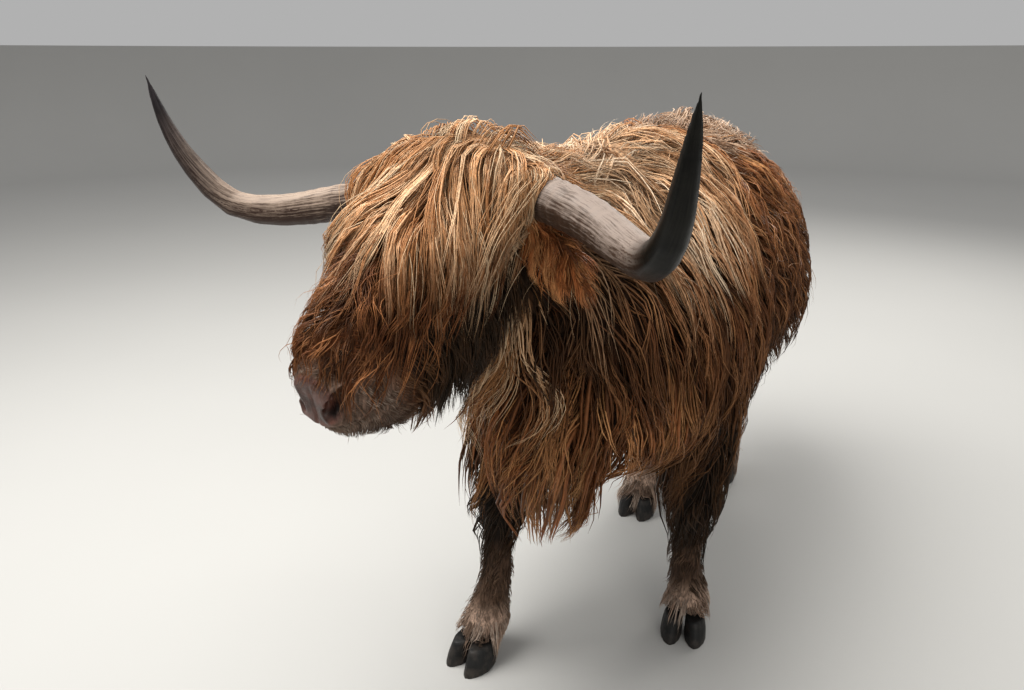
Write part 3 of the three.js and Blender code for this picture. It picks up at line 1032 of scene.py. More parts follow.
class Field:
    """The hide as a field to plant hair in."""

    def __init__(self, skin: bpy.types.Object) -> None:
        """Reads the triangles, areas and normals of the skin."""
        mesh = skin.data
        mesh.calc_loop_triangles()
        corners = np.empty(len(mesh.loop_triangles) * 3, np.int64)
        mesh.loop_triangles.foreach_get("vertices", corners)
        self.corners = corners.reshape(-1, 3)
        self.points, self.out = coords(mesh), normals(mesh)
        area = np.empty(len(mesh.vertices), np.int32)
        mesh.attributes["area"].data.foreach_get("value", area)
        self.area = area[self.corners[:, 0]]
        fur = np.empty(len(mesh.vertices), np.float32)
        mesh.attributes["fur"].data.foreach_get("value", fur)
        a, b, c = (self.points[self.corners[:, k]] for k in range(3))
        self.size = np.linalg.norm(np.cross(b - a, c - a), axis=1) / 2.0 * (fur[self.corners].min(1) > 0.6)
        self.middle = (a + b + c) / 3.0
        self.facing = unit(self.out[self.corners].sum(1))
        self.relaxer = Relaxer(mesh)

    def plant(self, wanted: np.ndarray, count: int, rng: np.random.Generator) -> Roots:
        """Scatters roots evenly over some of the triangles.

        Args:
            wanted: a weight for each triangle, 0 where nothing grows.
            count: how many roots.
            rng: the source of chance.

        Returns:
            The roots.
        """
        share = self.size * wanted
        chosen = rng.choice(len(share), count, p=share / share.sum())
        u, v = rng.random((2, count))
        flip = u + v > 1.0
        u[flip], v[flip] = 1.0 - u[flip], 1.0 - v[flip]
        weights = np.stack([1.0 - u - v, u, v], 1)[:, :, None]
        tri = self.corners[chosen]
        return Roots(
            (self.points[tri] * weights).sum(1), unit((self.out[tri] * weights).sum(1)), self.area[chosen]
        )


class Drift:
    """A smooth wandering direction that changes over the hide, so that neighbours wander together."""

    def __init__(self, seed: int, reach: float) -> None:
        """Draws the waves that the wandering is made of.

        Args:
            seed: the start of the chance.
            reach: the length of the broadest waves.
        """
        rng = np.random.default_rng(seed)
        self.turns = rng.normal(0.0, 2.0 * math.pi / reach, (7, 3))
        self.phases = rng.uniform(0.0, 2.0 * math.pi, 7)
        self.ways = rng.normal(0.0, 0.42, (7, 3))

    def at(self, points: np.ndarray) -> np.ndarray:
        """The wandering direction at each point, about a third long."""
        return np.sin(points @ self.turns.T + self.phases) @ self.ways


class Cover:
    """Keeps count of how much hair lies over each bit of the skin."""

    def __init__(self, field_: Field) -> None:
        """Starts with bare skin."""
        self.field = field_
        self.tree = BVHTree.FromPolygons(field_.points.tolist(), field_.corners.tolist())
        self.hair = np.zeros(len(field_.corners))

    def add(self, lines: np.ndarray, widths: np.ndarray) -> None:
        """Adds strands.

        Args:
            lines: the strands' points.
            widths: their widths at each point.
        """
        middle = (lines[:, 1::2] + lines[:, :-1:2][:, : lines[:, 1::2].shape[1]]) / 2.0
        run = 2.0 * np.linalg.norm(lines[:, 1:] - lines[:, :-1], axis=2)[:, ::2][:, : middle.shape[1]]
        area = (run * widths[:, 1::2][:, : middle.shape[1]]).ravel()
        faces = [self.tree.find_nearest(p)[2] for p in middle.reshape(-1, 3).tolist()]
        np.add.at(self.hair, faces, area)

    def bare(self, enough: float) -> np.ndarray:
        """How bare each triangle is, from 0 where hair of enough times its size lies over it."""
        spots = len(self.field.points)
        size = np.maximum(self.field.size, 1e-9)
        hair = np.bincount(self.field.corners.ravel(), np.repeat(self.hair, 3), spots)
        skin = np.bincount(self.field.corners.ravel(), np.repeat(size, 3), spots)
        rows = self.field.relaxer.relax(np.stack([hair, skin], 1), 10)
        share = np.clip(1.0 - rows[:, 0] / np.maximum(rows[:, 1], 1e-9) / enough, 0.0, 1.0)
        return share[self.field.corners].mean(1)


class Comb:
    """Combs locks over the skin, under the outline."""

    march = 18

    def __init__(self, skin: BVHTree, outline: BVHTree) -> None:
        """Keeps the two surfaces between which the hair lies."""
        self.skin, self.outline = skin, outline
        self.drift = Drift(61, 0.26)

    def aim(self, lay: Lay, points: np.ndarray, out: np.ndarray) -> np.ndarray:
        """The way that hair wants to lie at each place."""
        top = np.clip(out[:, 2:], 0.0, 1.0)
        y, z = points[:, 1:2], points[:, 2:3]
        if lay.face:
            aside = HEAD.left * np.tanh(HEAD.local(points)[:, 2:] / 0.05)
            rear = np.full((len(points), 1), lay.back)
        else:
            aside = np.array([1.0, 0.0, 0.0]) * np.tanh((points[:, :1] - midline(y)) / 0.13)
            rear = lay.back + 0.9 * top**6 + 1.3 * ease(-0.40, -0.50, y) * ease(0.95, 1.05, z)
        aim = -UP * lay.fall + REAR * rear + aside * lay.spread * top
        aim = aim + HEAD.face_line * lay.face + self.drift.at(points) * (lay.tousle + 0.10) * 1.6
        if lay.along:
            side = np.sign(HEAD.local(points)[:, 2:])
            aim = aim + unit(HEAD.left * side * 0.8 - UP * 0.6) * lay.along
        return unit(aim)

    def comb(
        self, roots: Roots, lay: Lay, rng: np.random.Generator
    ) -> tuple[np.ndarray, np.ndarray, np.ndarray]:
        """Leads a line from each root.

        Args:
            roots: where the locks start.
            lay: how they lie.
            rng: the source of chance.

        Returns:
            For each lock its points and the skin's normals under them, both
            count by rings + 1 by 3, and how high it lies, from 0 to 1.
        """
        count = len(roots.points)
        place_on_head = HEAD.local(roots.points)
        lengths = rng.uniform(*lay.length, count)
        aside = place_on_head[:, 2]
        lengths = lengths * (1.0 - lay.trim * (ease(0.105, 0.165, aside) + 0.3 * ease(0.105, 0.165, -aside)))
        hem = rng.normal(lay.hem, 0.036, (count, 1)) if lay.hem else np.zeros((count, 1))
        hem += 0.050 * ease(0.035, 0.095, aside)[:, None]
        stride = (lengths / self.march)[:, None]
        level = rng.uniform(*lay.layer, count)[:, None]
        crest = np.clip(roots.out[:, 2:], 0.0, 1.0) ** 6
        sway = unit(rng.normal(size=(count, 3)))
        sway = (sway - roots.out * dot(sway, roots.out)) * (lay.tousle + 0.25 * crest)
        spot = roots.points + roots.out * 0.0005
        heading = unit(roots.out * 0.6 + self.aim(lay, spot, roots.out))
        live = np.ones((count, 1), bool)
        path, outs = [roots.points - roots.out * 0.0025], [roots.out]
        for k in range(self.march):
            near, out, gap = nearest(self.skin, spot)
            edge, edge_out, over = nearest(self.outline, spot)
            gap, room = gap[:, None], -over[:, None]
            thick = np.clip(gap, 0.0, None) + np.clip(room, 0.0, None)
            rise = ease(0.0, lay.rise, np.array((k + 1) / self.march))
            wanted = thick * level * (0.12 + 0.88 * rise)
            aim = self.aim(lay, spot, out) + sway
            away = dot(aim, out)
            lift = np.clip((wanted - gap) / stride, -0.45, 0.55)
            lying = unit(aim - out * away) + out * lift
            free = aim + out * np.clip(lift, 0.0, 0.25)
            move = np.where((away > 0.12) & (gap > wanted * 0.4), free, lying)
            heading = unit(heading * 0.5 + unit(move) * 0.5)
            live &= ~((dot(aim, edge_out) > 0.86) & (room < 0.005) & (k > self.march * 0.4))
            live &= spot[:, 2:] > hem
            spot = spot + heading * stride * live
            near, out, gap = nearest(self.skin, spot)
            edge, edge_out, over = nearest(self.outline, spot)
            spot = np.where(over[:, None] > -0.001, edge - edge_out * 0.001, spot)
            near, out, gap = nearest(self.skin, spot)
            sunk = gap[:, None] < 0.0012
            spot = np.where(sunk, near + out * 0.0012, spot)
            spot[:, 2] = np.maximum(spot[:, 2], 0.006)
            path.append(spot)
            outs.append(out)
        lines, sides = self.even(np.stack(path, 1), np.stack(outs, 1), lay.rings)
        return lines, sides, ease(*lay.layer, level[:, 0])

    @staticmethod
    def even(path: np.ndarray, outs: np.ndarray, rings: int) -> tuple[np.ndarray, np.ndarray]:
        """Spaces the points of each line evenly.

        Args:
            path: lines, count by steps by 3.
            outs: normals that go with them.
            rings: how many equal stretches each line gets.

        Returns:
            The lines and normals, count by rings + 1 by 3.
        """
        run = np.linalg.norm(np.diff(path, axis=1), axis=2)
        run = np.concatenate([np.zeros((len(path), 1)), np.cumsum(run + 1e-6, 1)], 1)
        grid = np.linspace(0.0, 1.0, rings + 1)
        lines = np.empty((len(path), rings + 1, 3))
        sides = np.empty_like(lines)
        for i, at in enumerate(run):
            for k in range(3):
                lines[i, :, k] = np.interp(grid * at[-1], at, path[i, :, k])
                sides[i, :, k] = np.interp(grid * at[-1], at, outs[i, :, k])
        return lines, unit(sides)


@dataclass
class Tresses:
    """Strands that follow the locks, as rows of lines with their colours."""

    lines: np.ndarray
    outs: np.ndarray
    widths: np.ndarray
    colours: np.ndarray
    places: np.ndarray


class Barber:
    """Makes strands from locks and colours them."""

    def __init__(self, field_: Field, markings: Markings) -> None:
        """Keeps the hide and the markings."""
        self.field, self.markings = field_, markings
        self.shading = Drift(93, 0.20)
        self.cover = Cover(field_)

    def dress(self, wanted: np.ndarray, lay: Lay, comb: Comb, rng: np.random.Generator) -> Tresses:
        """Grows one stretch of coat.

        Args:
            wanted: a weight for each triangle of the skin.
            lay: how the hair grows and lies.
            comb: what lays it.
            rng: the source of chance.

        Returns:
            The strands.
        """
        locks = self.field.plant(wanted, lay.locks, rng)
        paths, outs, level = comb.comb(locks, lay, rng)
        roots = self.field.plant(wanted, lay.strands, rng)
        first, second, share = self.partners(roots.points, locks.points, rng)
        base = paths[first] * share + paths[second] * (1.0 - share)
        sides = unit(outs[first] * share + outs[second] * (1.0 - share))
        count, rings = len(base), lay.rings
        t = np.linspace(0.0, 1.0, rings + 1)[None, :, None]
        short = rng.uniform(0.62, 1.0, count) ** 0.7
        base, sides = self.shortened(base, short), self.shortened(sides, short)
        t = t * short[:, None, None]
        stray = (rng.random(count) < lay.strays)[:, None, None]
        gather = np.where(stray, -0.3, lay.gather) * ease(0.0, 0.75, t)
        offset = (roots.points - roots.out * 0.0025) - base[:, 0]
        lines = base + offset[:, None, :] * (1.0 - gather)
        lines = lines + self.waves(lines, sides, lay, first, stray, t, rng)
        lines[:, :, 2] = np.maximum(lines[:, :, 2], 0.004)
        widths = lay.width * rng.uniform(0.6, 1.35, count)[:, None] * self.taper(rings)[None, :]
        widths = np.where(stray[:, :, 0], widths * 0.6, widths)
        colours = self.colours(roots, first, lay, t[:, :, 0], stray[:, 0, 0], rng)
        # painted shade: locks that lie low in the coat are darker, as if shaded by the locks over them
        colours = colours * (0.55 + 0.45 * level[first])[:, None, None]
        uneven = rng.uniform(0.50, 1.25, lay.locks)[first][:, None, None]
        # partly painted shade: strands turn redder and darker low on the head
        dusk = lay.dusk * ease(1.15, 0.99, lines[:, :, 2:]) * uneven
        colours = mix(colours, colours * np.array([0.30, 0.17, 0.10]), np.clip(dusk, 0.0, 1.0))
        self.cover.add(lines, widths)
        return Tresses(lines, sides, widths, colours, roots.points)

    @staticmethod
    def partners(points: np.ndarray, locks: np.ndarray, rng: np.random.Generator) -> tuple:
        """Finds the two locks nearest to each root, and the nearest one's share."""
        first, second = np.empty(len(points), int), np.empty(len(points), int)
        for start in range(0, len(points), 1000):
            chunk = points[start : start + 1000]
            gap = ((chunk[:, None] - locks[None]) ** 2).sum(2)
            pair = np.argpartition(gap, 1, axis=1)[:, :2]
            swap = gap[np.arange(len(chunk)), pair[:, 0]] > gap[np.arange(len(chunk)), pair[:, 1]]
            pair[swap] = pair[swap][:, ::-1]
            first[start : start + 1000], second[start : start + 1000] = pair.T
        return first, second, rng.uniform(0.72, 1.0, len(points))[:, None, None]

    @staticmethod
    def shortened(rows: np.ndarray, share: np.ndarray) -> np.ndarray:
        """Cuts each line to a share of its length, with as many points."""
        rings = rows.shape[1] - 1
        at = np.linspace(0.0, 1.0, rings + 1)[None] * share[:, None] * rings
        low = np.minimum(at.astype(int), rings - 1)
        part = (at - low)[:, :, None]
        index = np.arange(len(rows))[:, None]
        return rows[index, low] * (1.0 - part) + rows[index, low + 1] * part

    @staticmethod
    def taper(rings: int) -> np.ndarray:
        """A strand's relative width at each ring, from root to tip."""
        t = np.linspace(0.0, 1.0, rings + 1)
        return (0.55 + 0.45 * ease(0.0, 0.25, t)) * (1.0 - 0.85 * ease(0.45, 1.0, t))

    @staticmethod
    def waves(
        lines: np.ndarray,
        sides: np.ndarray,
        lay: Lay,
        first: np.ndarray,
        stray: np.ndarray,
        t: np.ndarray,
        rng: np.random.Generator,
    ) -> np.ndarray:
        """The swing of each strand from its straight line.

        Args:
            lines: the straight strands.
            sides: the normals under them.
            lay: how the hair lies.
            first: the lock that each strand belongs to.
            stray: which strands have left their lock.
            t: how far along its lock each point is.
            rng: the source of chance.

        Returns:
            Shifts for all points.
        """
        count = len(lines)
        run = np.linalg.norm(np.diff(lines, axis=1), axis=2).sum(1)[:, None, None]
        phase = rng.uniform(0.0, 2.0 * math.pi, lay.locks)[first] + rng.normal(0.0, lay.fellow, count)
        pitch = lay.wave_length * rng.uniform(0.75, 1.35, lay.locks)[first]
        size = lay.wave * rng.uniform(0.3, 1.5, lay.locks)[first] * rng.uniform(0.6, 1.3, count)
        phase, pitch, size = (x[:, None, None] for x in (phase, pitch, size))
        size = size * np.where(stray, 2.2, 1.0) * ease(0.0, 0.4, t)
        turn = 2.0 * math.pi * t * run / pitch + phase
        along = unit(np.gradient(lines, axis=1))
        across = unit(np.cross(sides, along))
        lift = rng.uniform(0.0, 1.0, count)[:, None, None] * np.where(stray, 0.016, 0.0) * t
        drift = rng.normal(0.0, 0.35, count)[:, None, None] * size * t * 2.0
        return across * (size * np.sin(turn) + drift) + sides * (0.35 * size * np.cos(turn * 1.3) + lift)

    def colours(
        self,
        roots: Roots,
        first: np.ndarray,
        lay: Lay,
        t: np.ndarray,
        stray: np.ndarray,
        rng: np.random.Generator,
    ) -> np.ndarray:
        """The colour of each ring of each strand.

        Args:
            roots: the strands' roots.
            first: the lock that each strand belongs to.
            lay: how the hair lies.
            t: how far along its lock each point is.
            stray: which strands have left their lock.
            rng: the source of chance.

        Returns:
            count by rings + 1 by 3.
        """
        rows = self.markings.shades(roots.area, roots.points)
        lock_tone = rng.beta(1.3, 1.5, lay.locks)[first]
        broad = self.shading.at(roots.points)[:, 0]
        tone = 0.04 + lock_tone * 0.72 + rng.random(len(first)) * 0.24 + 0.16 * broad + lay.tone
        tone = np.where(stray, 0.75 + 0.25 * tone, tone)
        plain = picked(rows, tone)
        pale = picked(rows, np.clip(tone + 0.22, 0.0, 1.0))
        # partly painted shade: each strand is darker towards its root, deep in the coat
        shade = lay.darkness + (1.0 - lay.darkness) * ease(0.02, 0.42, t)
        colour = mix(plain[:, None], pale[:, None], ease(0.35, 1.0, t)[:, :, None])
        return np.clip(colour * shade[:, :, None], 0.0, 1.0)


@dataclass(frozen=True)
class Weaver:
    """Turns strands into one closed mesh of slim three-sided tapers."""

    flatness: float = 0.6
    patch: float = 0.003

    def weave(self, name: str, tresses: Tresses) -> bpy.types.Object:
        """Makes the mesh of a piece of coat.

        Args:
            name: the piece's name.
            tresses: its strands.

        Returns:
            The piece, with its colours and its unwrap OFBake.
        """
        lines, outs = tresses.lines, tresses.outs
        count, rings = len(lines), lines.shape[1] - 1
        along = unit(np.gradient(lines, axis=1))
        side = unit(np.cross(outs, along))
        rise = np.cross(along, side)
        angles = np.radians([90.0, 210.0, 330.0])
        flat = self.flatness * np.sin(angles)[:, None]
        ring = side[:, :-1, None] * np.cos(angles)[:, None] + rise[:, :-1, None] * flat
        tube = lines[:, :-1, None] + ring * (tresses.widths[:, :-1, None, None] / 2.0)
        points = np.concatenate([tube.reshape(count, -1, 3), lines[:, -1:]], 1)
        per = points.shape[1]
        loops, totals = self.template(rings)
        corners = (loops[None] + np.arange(count)[:, None] * per).ravel()
        sizes = np.tile(totals, count)
        mesh = bpy.data.meshes.new(name)
        mesh.vertices.add(count * per)
        mesh.vertices.foreach_set("co", points.astype(np.float32).ravel())
        mesh.loops.add(len(corners))
        mesh.loops.foreach_set("vertex_index", corners.astype(np.int32))
        mesh.polygons.add(len(sizes))
        mesh.polygons.foreach_set("loop_start", np.concatenate([[0], np.cumsum(sizes)[:-1]]).astype(np.int32))
        mesh.update(calc_edges=True)
        smooth_shaded(mesh)
        tint = np.concatenate([np.repeat(tresses.colours[:, :-1], 3, axis=1), tresses.colours[:, -1:]], 1)
        write_colour(mesh, "coat_colour", tint.reshape(-1, 3))
        self.unwrap(mesh, tresses.places, rings, corners)
        return show(name, mesh)

    @staticmethod
    def template(rings: int) -> tuple[np.ndarray, np.ndarray]:
        """The corners and the corner counts of one strand's faces."""
        faces: list[list[int]] = [[2, 1, 0]]
        for k in range(rings - 1):
            for j in range(3):
                a, b = 3 * k + j, 3 * k + (j + 1) % 3
                faces.append([a, b, b + 3, a + 3])
        top = 3 * (rings - 1)
        faces += [[top + j, top + (j + 1) % 3, 3 * rings] for j in range(3)]
        return np.array(sum(faces, [])), np.array([len(f) for f in faces])

    def unwrap(self, mesh: bpy.types.Mesh, places: np.ndarray, rings: int, corners: np.ndarray) -> None:
        """Gives each strand a small patch at its root's place on the unrolled hide.

        Args:
            mesh: the mesh of the strands.
            places: the strands' roots.
            rings: the rings of a strand.
            corners: the vertex at each corner of each face.
        """
        spots = unrolled(places) * (1.0 - 2.0 * self.patch) + self.patch / 2.0
        turn = np.tile([0.0, 0.5, 1.0], rings)
        climb = np.repeat(np.arange(rings) / rings, 3)
        local = np.stack([np.append(turn, 0.5), np.append(climb, 1.0)], 1) * self.patch
        rows = (spots[:, None] + local[None]).reshape(-1, 2)[corners]
        mesh.uv_layers.new(name="OFBake").data.foreach_set("uv", rows.astype(np.float32).ravel())


def unrolled(points: np.ndarray) -> np.ndarray:
    """Unrolls places round the longest axis of where they lie, into a unit square.

    Args:
        points: rows of places.

    Returns:
        Rows of two numbers from 0 to 1.
    """
    middle = points.mean(0)
    _, _, axes = np.linalg.svd(points - middle, full_matrices=False)
    long, wide, thin = ((points - middle) @ axes.T).T
    swing = np.arctan2(wide, thin)
    gaps = np.sort(swing)
    step = np.diff(np.append(gaps, gaps[0] + 2.0 * math.pi))
    start = gaps[(step.argmax() + 1) % len(gaps)]
    swing = (swing - start) % (2.0 * math.pi)
    rows = np.stack([swing / max(swing.max(), 1e-6), (long - long.min()) / max(np.ptp(long), 1e-6)], 1)
    return np.clip(rows, 0.0, 1.0)


# ---------------------------------------------------------------- finishes


@dataclass(frozen=True)
class Wire:
    """The output of a shader node, which takes part in Python sums."""

    board: Board
    socket: bpy.types.NodeSocket

    def __add__(self, other: Wire | float) -> Wire:
        """The sum."""
        return self.board.maths("ADD", self, other)

    __radd__ = __add__

    def __sub__(self, other: Wire | float) -> Wire:
        """The difference."""
        return self.board.maths("SUBTRACT", self, other)

    def __rsub__(self, other: float) -> Wire:
        """The difference from a number."""
        return self.board.maths("SUBTRACT", other, self)

    def __mul__(self, other: Wire | float) -> Wire:
        """The product."""
        return self.board.maths("MULTIPLY", self, other)

    __rmul__ = __mul__


class Board:
    """A material and the nodes that make it."""

    def __init__(self, name: str) -> None:
        """Starts an empty material."""
        self.material = bpy.data.materials.new(name)
        self.material.use_nodes = True
        self.tree = self.material.node_tree
        self.tree.nodes.clear()

    def node(
        self, kind: str, settings: dict | None = None, inputs: dict | None = None, output: int | str = 0
    ) -> Wire:
        """Adds a node.

        Args:
            kind: the node's type.
            settings: its settings, or the stops of its ramp, set first.
            inputs: values or wires for its sockets, by name or number.
            output: the output that is wanted.

        Returns:
            That output.
        """
        made = self.tree.nodes.new(kind)
        for key, value in (settings or {}).items():
            if key == "stops":
                ramp = made.color_ramp
                while len(ramp.elements) < len(value):
                    ramp.elements.new(1.0)
                for element, (spot, colour) in zip(ramp.elements, value):
                    element.position, element.color = spot, (*colour, 1.0)
            else:
                setattr(made, key, value)
        for key, value in (inputs or {}).items():
            socket = made.inputs[key]
            if isinstance(value, Wire):
                self.tree.links.new(value.socket, socket)
            elif isinstance(value, tuple) and len(value) == 3 and socket.type == "RGBA":
                socket.default_value = (*value, 1.0)
            else:
                socket.default_value = value
        return Wire(self, made.outputs[output])

    def maths(self, operation: str, a: Wire | float, b: Wire | float) -> Wire:
        """A sum of two values."""
        return self.node("ShaderNodeMath", {"operation": operation}, {0: a, 1: b})

    def blend(self, how: str, a: Wire | Colour, b: Wire | Colour, factor: Wire | float) -> Wire:
        """Two colours blended."""
        settings = {"data_type": "RGBA", "blend_type": how}
        return self.node("ShaderNodeMix", settings, {0: factor, 6: a, 7: b}, 2)

    def between(
        self, value: Wire, low: float, high: float, to_low: float = 0.0, to_high: float = 1.0
    ) -> Wire:
        """A value carried from one range to another, with its ends held."""
        span = {"Value": value, "From Min": low, "From Max": high, "To Min": to_low, "To Max": to_high}
        return self.node("ShaderNodeMapRange", {"clamp": True}, span)

    def spot(self, scale: Triple = (1.0, 1.0, 1.0)) -> Wire:
        """The place on the object, stretched by a scale."""
        where = self.node("ShaderNodeTexCoord", output="Object")
        return self.node("ShaderNodeMapping", inputs={"Vector": where, "Scale": scale})

    def noise(self, vector: Wire, scale: float, detail: float = 3.0, roughness: float = 0.55) -> Wire:
        """Cloudy noise from 0 to 1."""
        inputs = {"Vector": vector, "Scale": scale, "Detail": detail, "Roughness": roughness}
        return self.node("ShaderNodeTexNoise", inputs=inputs)

    def stored(self, name: str, output: str = "Fac") -> Wire:
        """A value or colour stored in the mesh."""
        return self.node("ShaderNodeAttribute", {"attribute_name": name}, output=output)

    def bump(self, height: Wire, distance: float, strength: float = 1.0) -> Wire:
        """A normal that is raised by a height."""
        inputs = {"Height": height, "Distance": distance, "Strength": strength}
        return self.node("ShaderNodeBump", inputs=inputs)

    def close(self, **inputs: Wire | float | Colour) -> bpy.types.Material:
        """Ends the material in a shader with these inputs, their blanks as underscores."""
        named = {key.replace("_", " "): value for key, value in inputs.items()}
        shader = self.node("ShaderNodeBsdfPrincipled", inputs=named)
        self.node_output(shader)
        return self.material

    def node_output(self, shader: Wire) -> None:
        """Joins a shader to the material's output."""
        end = self.tree.nodes.new("ShaderNodeOutputMaterial")
        self.tree.links.new(shader.socket, end.inputs["Surface"])


@dataclass(frozen=True)
class CoatFinish:
    """Hair: the strands' stored colours, broken along their length."""

    name: str = "coat"
    roughness: float = 0.48
    gloss: float = 0.30
    glint: Colour = (1.0, 0.74, 0.52)
    speckle: float = 0.30

    def make(self) -> bpy.types.Material:
        """Builds the material."""
        board = Board(self.name)
        stored = board.stored("coat_colour", "Color")
        fine = board.noise(board.spot((1.0, 1.0, 0.25)), 260.0, 2.0)
        broad = board.noise(board.spot(), 9.0, 3.0)
        shade = board.between(fine, 0.3, 0.7, 1.0 - self.speckle, 1.0 + self.speckle)
        shade = shade * board.between(broad, 0.3, 0.7, 0.86, 1.12)
        grey = board.node("ShaderNodeCombineColor", inputs={"Red": shade, "Green": shade, "Blue": shade})
        base = board.blend("MULTIPLY", stored, grey, 1.0)
        rough = board.between(fine, 0.3, 0.7, self.roughness - 0.07, self.roughness + 0.08)
        return board.close(
            Base_Color=base, Roughness=rough, Specular_IOR_Level=self.gloss, Specular_Tint=(*self.glint, 1.0)
        )


@dataclass(frozen=True)
class SkinFinish:
    """The skin: close fur and, on the nose, bare leather with fine cobbles."""

    name: str = "skin"
    fur_roughness: float = 0.78
    pad_roughness: float = 0.36

    def make(self) -> bpy.types.Material:
        """Builds the material."""
        board = Board(self.name)
        stored = board.stored("hide_colour", "Color")
        pad, fur = board.stored("pad"), board.stored("fur")
        crest = board.stored("crest")
        hanging = board.noise(board.spot((1.0, 1.0, 0.14)), 230.0, 3.0, 0.6)
        lying = board.noise(board.spot((1.0, 0.14, 1.0)), 230.0, 3.0, 0.6)
        streaks = hanging * (1.0 - crest) + lying * crest
        tufts = board.noise(board.spot((1.0, 1.0, 0.4)), 60.0, 3.0)
        cells = board.node(
            "ShaderNodeTexVoronoi",
            {"feature": "DISTANCE_TO_EDGE"},
            {"Vector": board.spot(), "Scale": 330.0},
            "Distance",
        )
        cobble = board.between(cells, 0.0, 0.28)
        blotch = board.noise(board.spot(), 26.0, 5.0)
        fur_shade = board.between(streaks, 0.34, 0.66, 0.35, 1.55) * board.between(tufts, 0.3, 0.7, 0.75, 1.2)
        pad_shade = board.between(blotch, 0.38, 0.62, 0.38, 1.60) * board.between(cobble, 0.0, 1.0, 0.72, 1.0)
        shade = fur_shade * fur + pad_shade * pad
        grey = board.node("ShaderNodeCombineColor", inputs={"Red": shade, "Green": shade, "Blue": shade})
        base = board.blend("MULTIPLY", stored, grey, 1.0)
        moist = board.between(blotch, 0.3, 0.7, self.pad_roughness - 0.08, self.pad_roughness + 0.12)
        rough = moist * pad + fur * self.fur_roughness
        height = streaks * fur * 0.0016 + tufts * fur * 0.0012 + cobble * pad * 0.0005
        return board.close(
            Base_Color=base,
            Roughness=rough,
            Normal=board.bump(height, 1.0, 0.9),
            Specular_IOR_Level=0.28,
            Specular_Tint=(1.0, 0.84, 0.72, 1.0),
            Coat_Weight=pad * 0.25,
            Coat_Roughness=0.24,
        )


@dataclass(frozen=True)
class HornFinish:
    """Horn: long streaks, fine rings, a painted light upper side and painted shade underneath, and a dark
    polished tip with painted sheen.
    """

    name: str
    cream: Colour
    brown: Colour
    tip: Colour
    turn: float
    turn_width: float

    def make(self) -> bpy.types.Material:
        """Builds the material."""
        board = Board(self.name)
        along, around, top = board.stored("along"), board.stored("around"), board.stored("top")
        xyz = "ShaderNodeCombineXYZ"
        flow = board.node(xyz, inputs={"X": around * 5.0, "Y": along * 1.5, "Z": 0.0})
        fibre = board.noise(flow, 6.0, 7.0, 0.72)
        broad = board.noise(board.spot(), 15.0, 4.0)
        ring_flow = board.node(xyz, inputs={"X": around * 0.7, "Y": along * 22.0, "Z": 0.0})
        rings = board.noise(ring_flow, 2.0, 4.0, 0.6)
        # painted light and shade: the upper side of the horn is paler and its underside darker; the rest of
        # the cream and brown streaking is the horn's own grain
        depth = fibre * 0.78 + broad * 0.22 + (rings - 0.5) * 0.08 + (top - 0.5) * 0.26
        grain_and_painted_light = board.between(depth, 0.47, 0.61)
        body = board.blend("MIX", self.brown, self.cream, grain_and_painted_light)
        edge = along + (broad - 0.5) * 0.08 + (fibre - 0.5) * 0.14
        dark = board.between(edge, self.turn - self.turn_width, self.turn + self.turn_width)
        # partly painted sheen: the dark tip is mottled with bright patches that stand for its gloss, over its
        # own mottling
        sheen = board.between(fibre * 0.6 + broad * 0.4, 0.42, 0.62, 0.4, 4.0)
        tint = board.node("ShaderNodeCombineColor", inputs={"Red": sheen, "Green": sheen, "Blue": sheen})
        tip = board.blend("MULTIPLY", self.tip, tint, 1.0)
        base = board.blend("MIX", body, tip, dark)
        rough = board.between(fibre, 0.3, 0.7, 0.40, 0.60) - dark * 0.12
        height = rings * (1.0 - dark * 0.7) * 0.0013 + fibre * (1.0 - dark * 0.5) * 0.0009
        return board.close(
            Base_Color=base, Roughness=rough, Normal=board.bump(height, 1.0, 0.8), Specular_IOR_Level=0.14
        )


LEFT_HORN = HornFinish(
    "horn_left", (0.245, 0.193, 0.162), (0.044, 0.024, 0.015), (0.0026, 0.0024, 0.0018), 0.635, 0.050
)
RIGHT_HORN = HornFinish(
    "horn_right", (0.33, 0.250, 0.194), (0.046, 0.026, 0.019), (0.011, 0.009, 0.010), 0.74, 0.17
)


@dataclass(frozen=True)
class HoofFinish:
    """Claws: dark slate horn with growth rings, and scuffed at the ground."""

    name: str = "hoof"
    slate: Colour = (0.007, 0.0068, 0.0065)
    worn: Colour = (0.045, 0.036, 0.030)

    def make(self) -> bpy.types.Material:
        """Builds the material."""
        board = Board(self.name)
        level = board.noise(board.spot((6.0, 6.0, 160.0)), 1.0, 3.0)
        upright = board.noise(board.spot((120.0, 120.0, 12.0)), 1.0, 3.0)
        height_up = board.node("ShaderNodeSeparateXYZ", inputs={"Vector": board.spot()}, output="Z")
        scuff = board.between(height_up, 0.026, 0.0) * board.between(upright, 0.35, 0.6)
        mud = board.between(board.noise(board.spot(), 46.0, 4.0), 0.48, 0.62)
        base = board.blend("MIX", self.slate, self.worn, board.between(scuff * 0.7 + mud * 0.45, 0.0, 1.0))
        rough = board.between(upright, 0.3, 0.7, 0.48, 0.68)
        height = level * 0.0009 + upright * 0.0004
        return board.close(
            Base_Color=base, Roughness=rough, Normal=board.bump(height, 1.0, 0.9), Specular_IOR_Level=0.3
        )


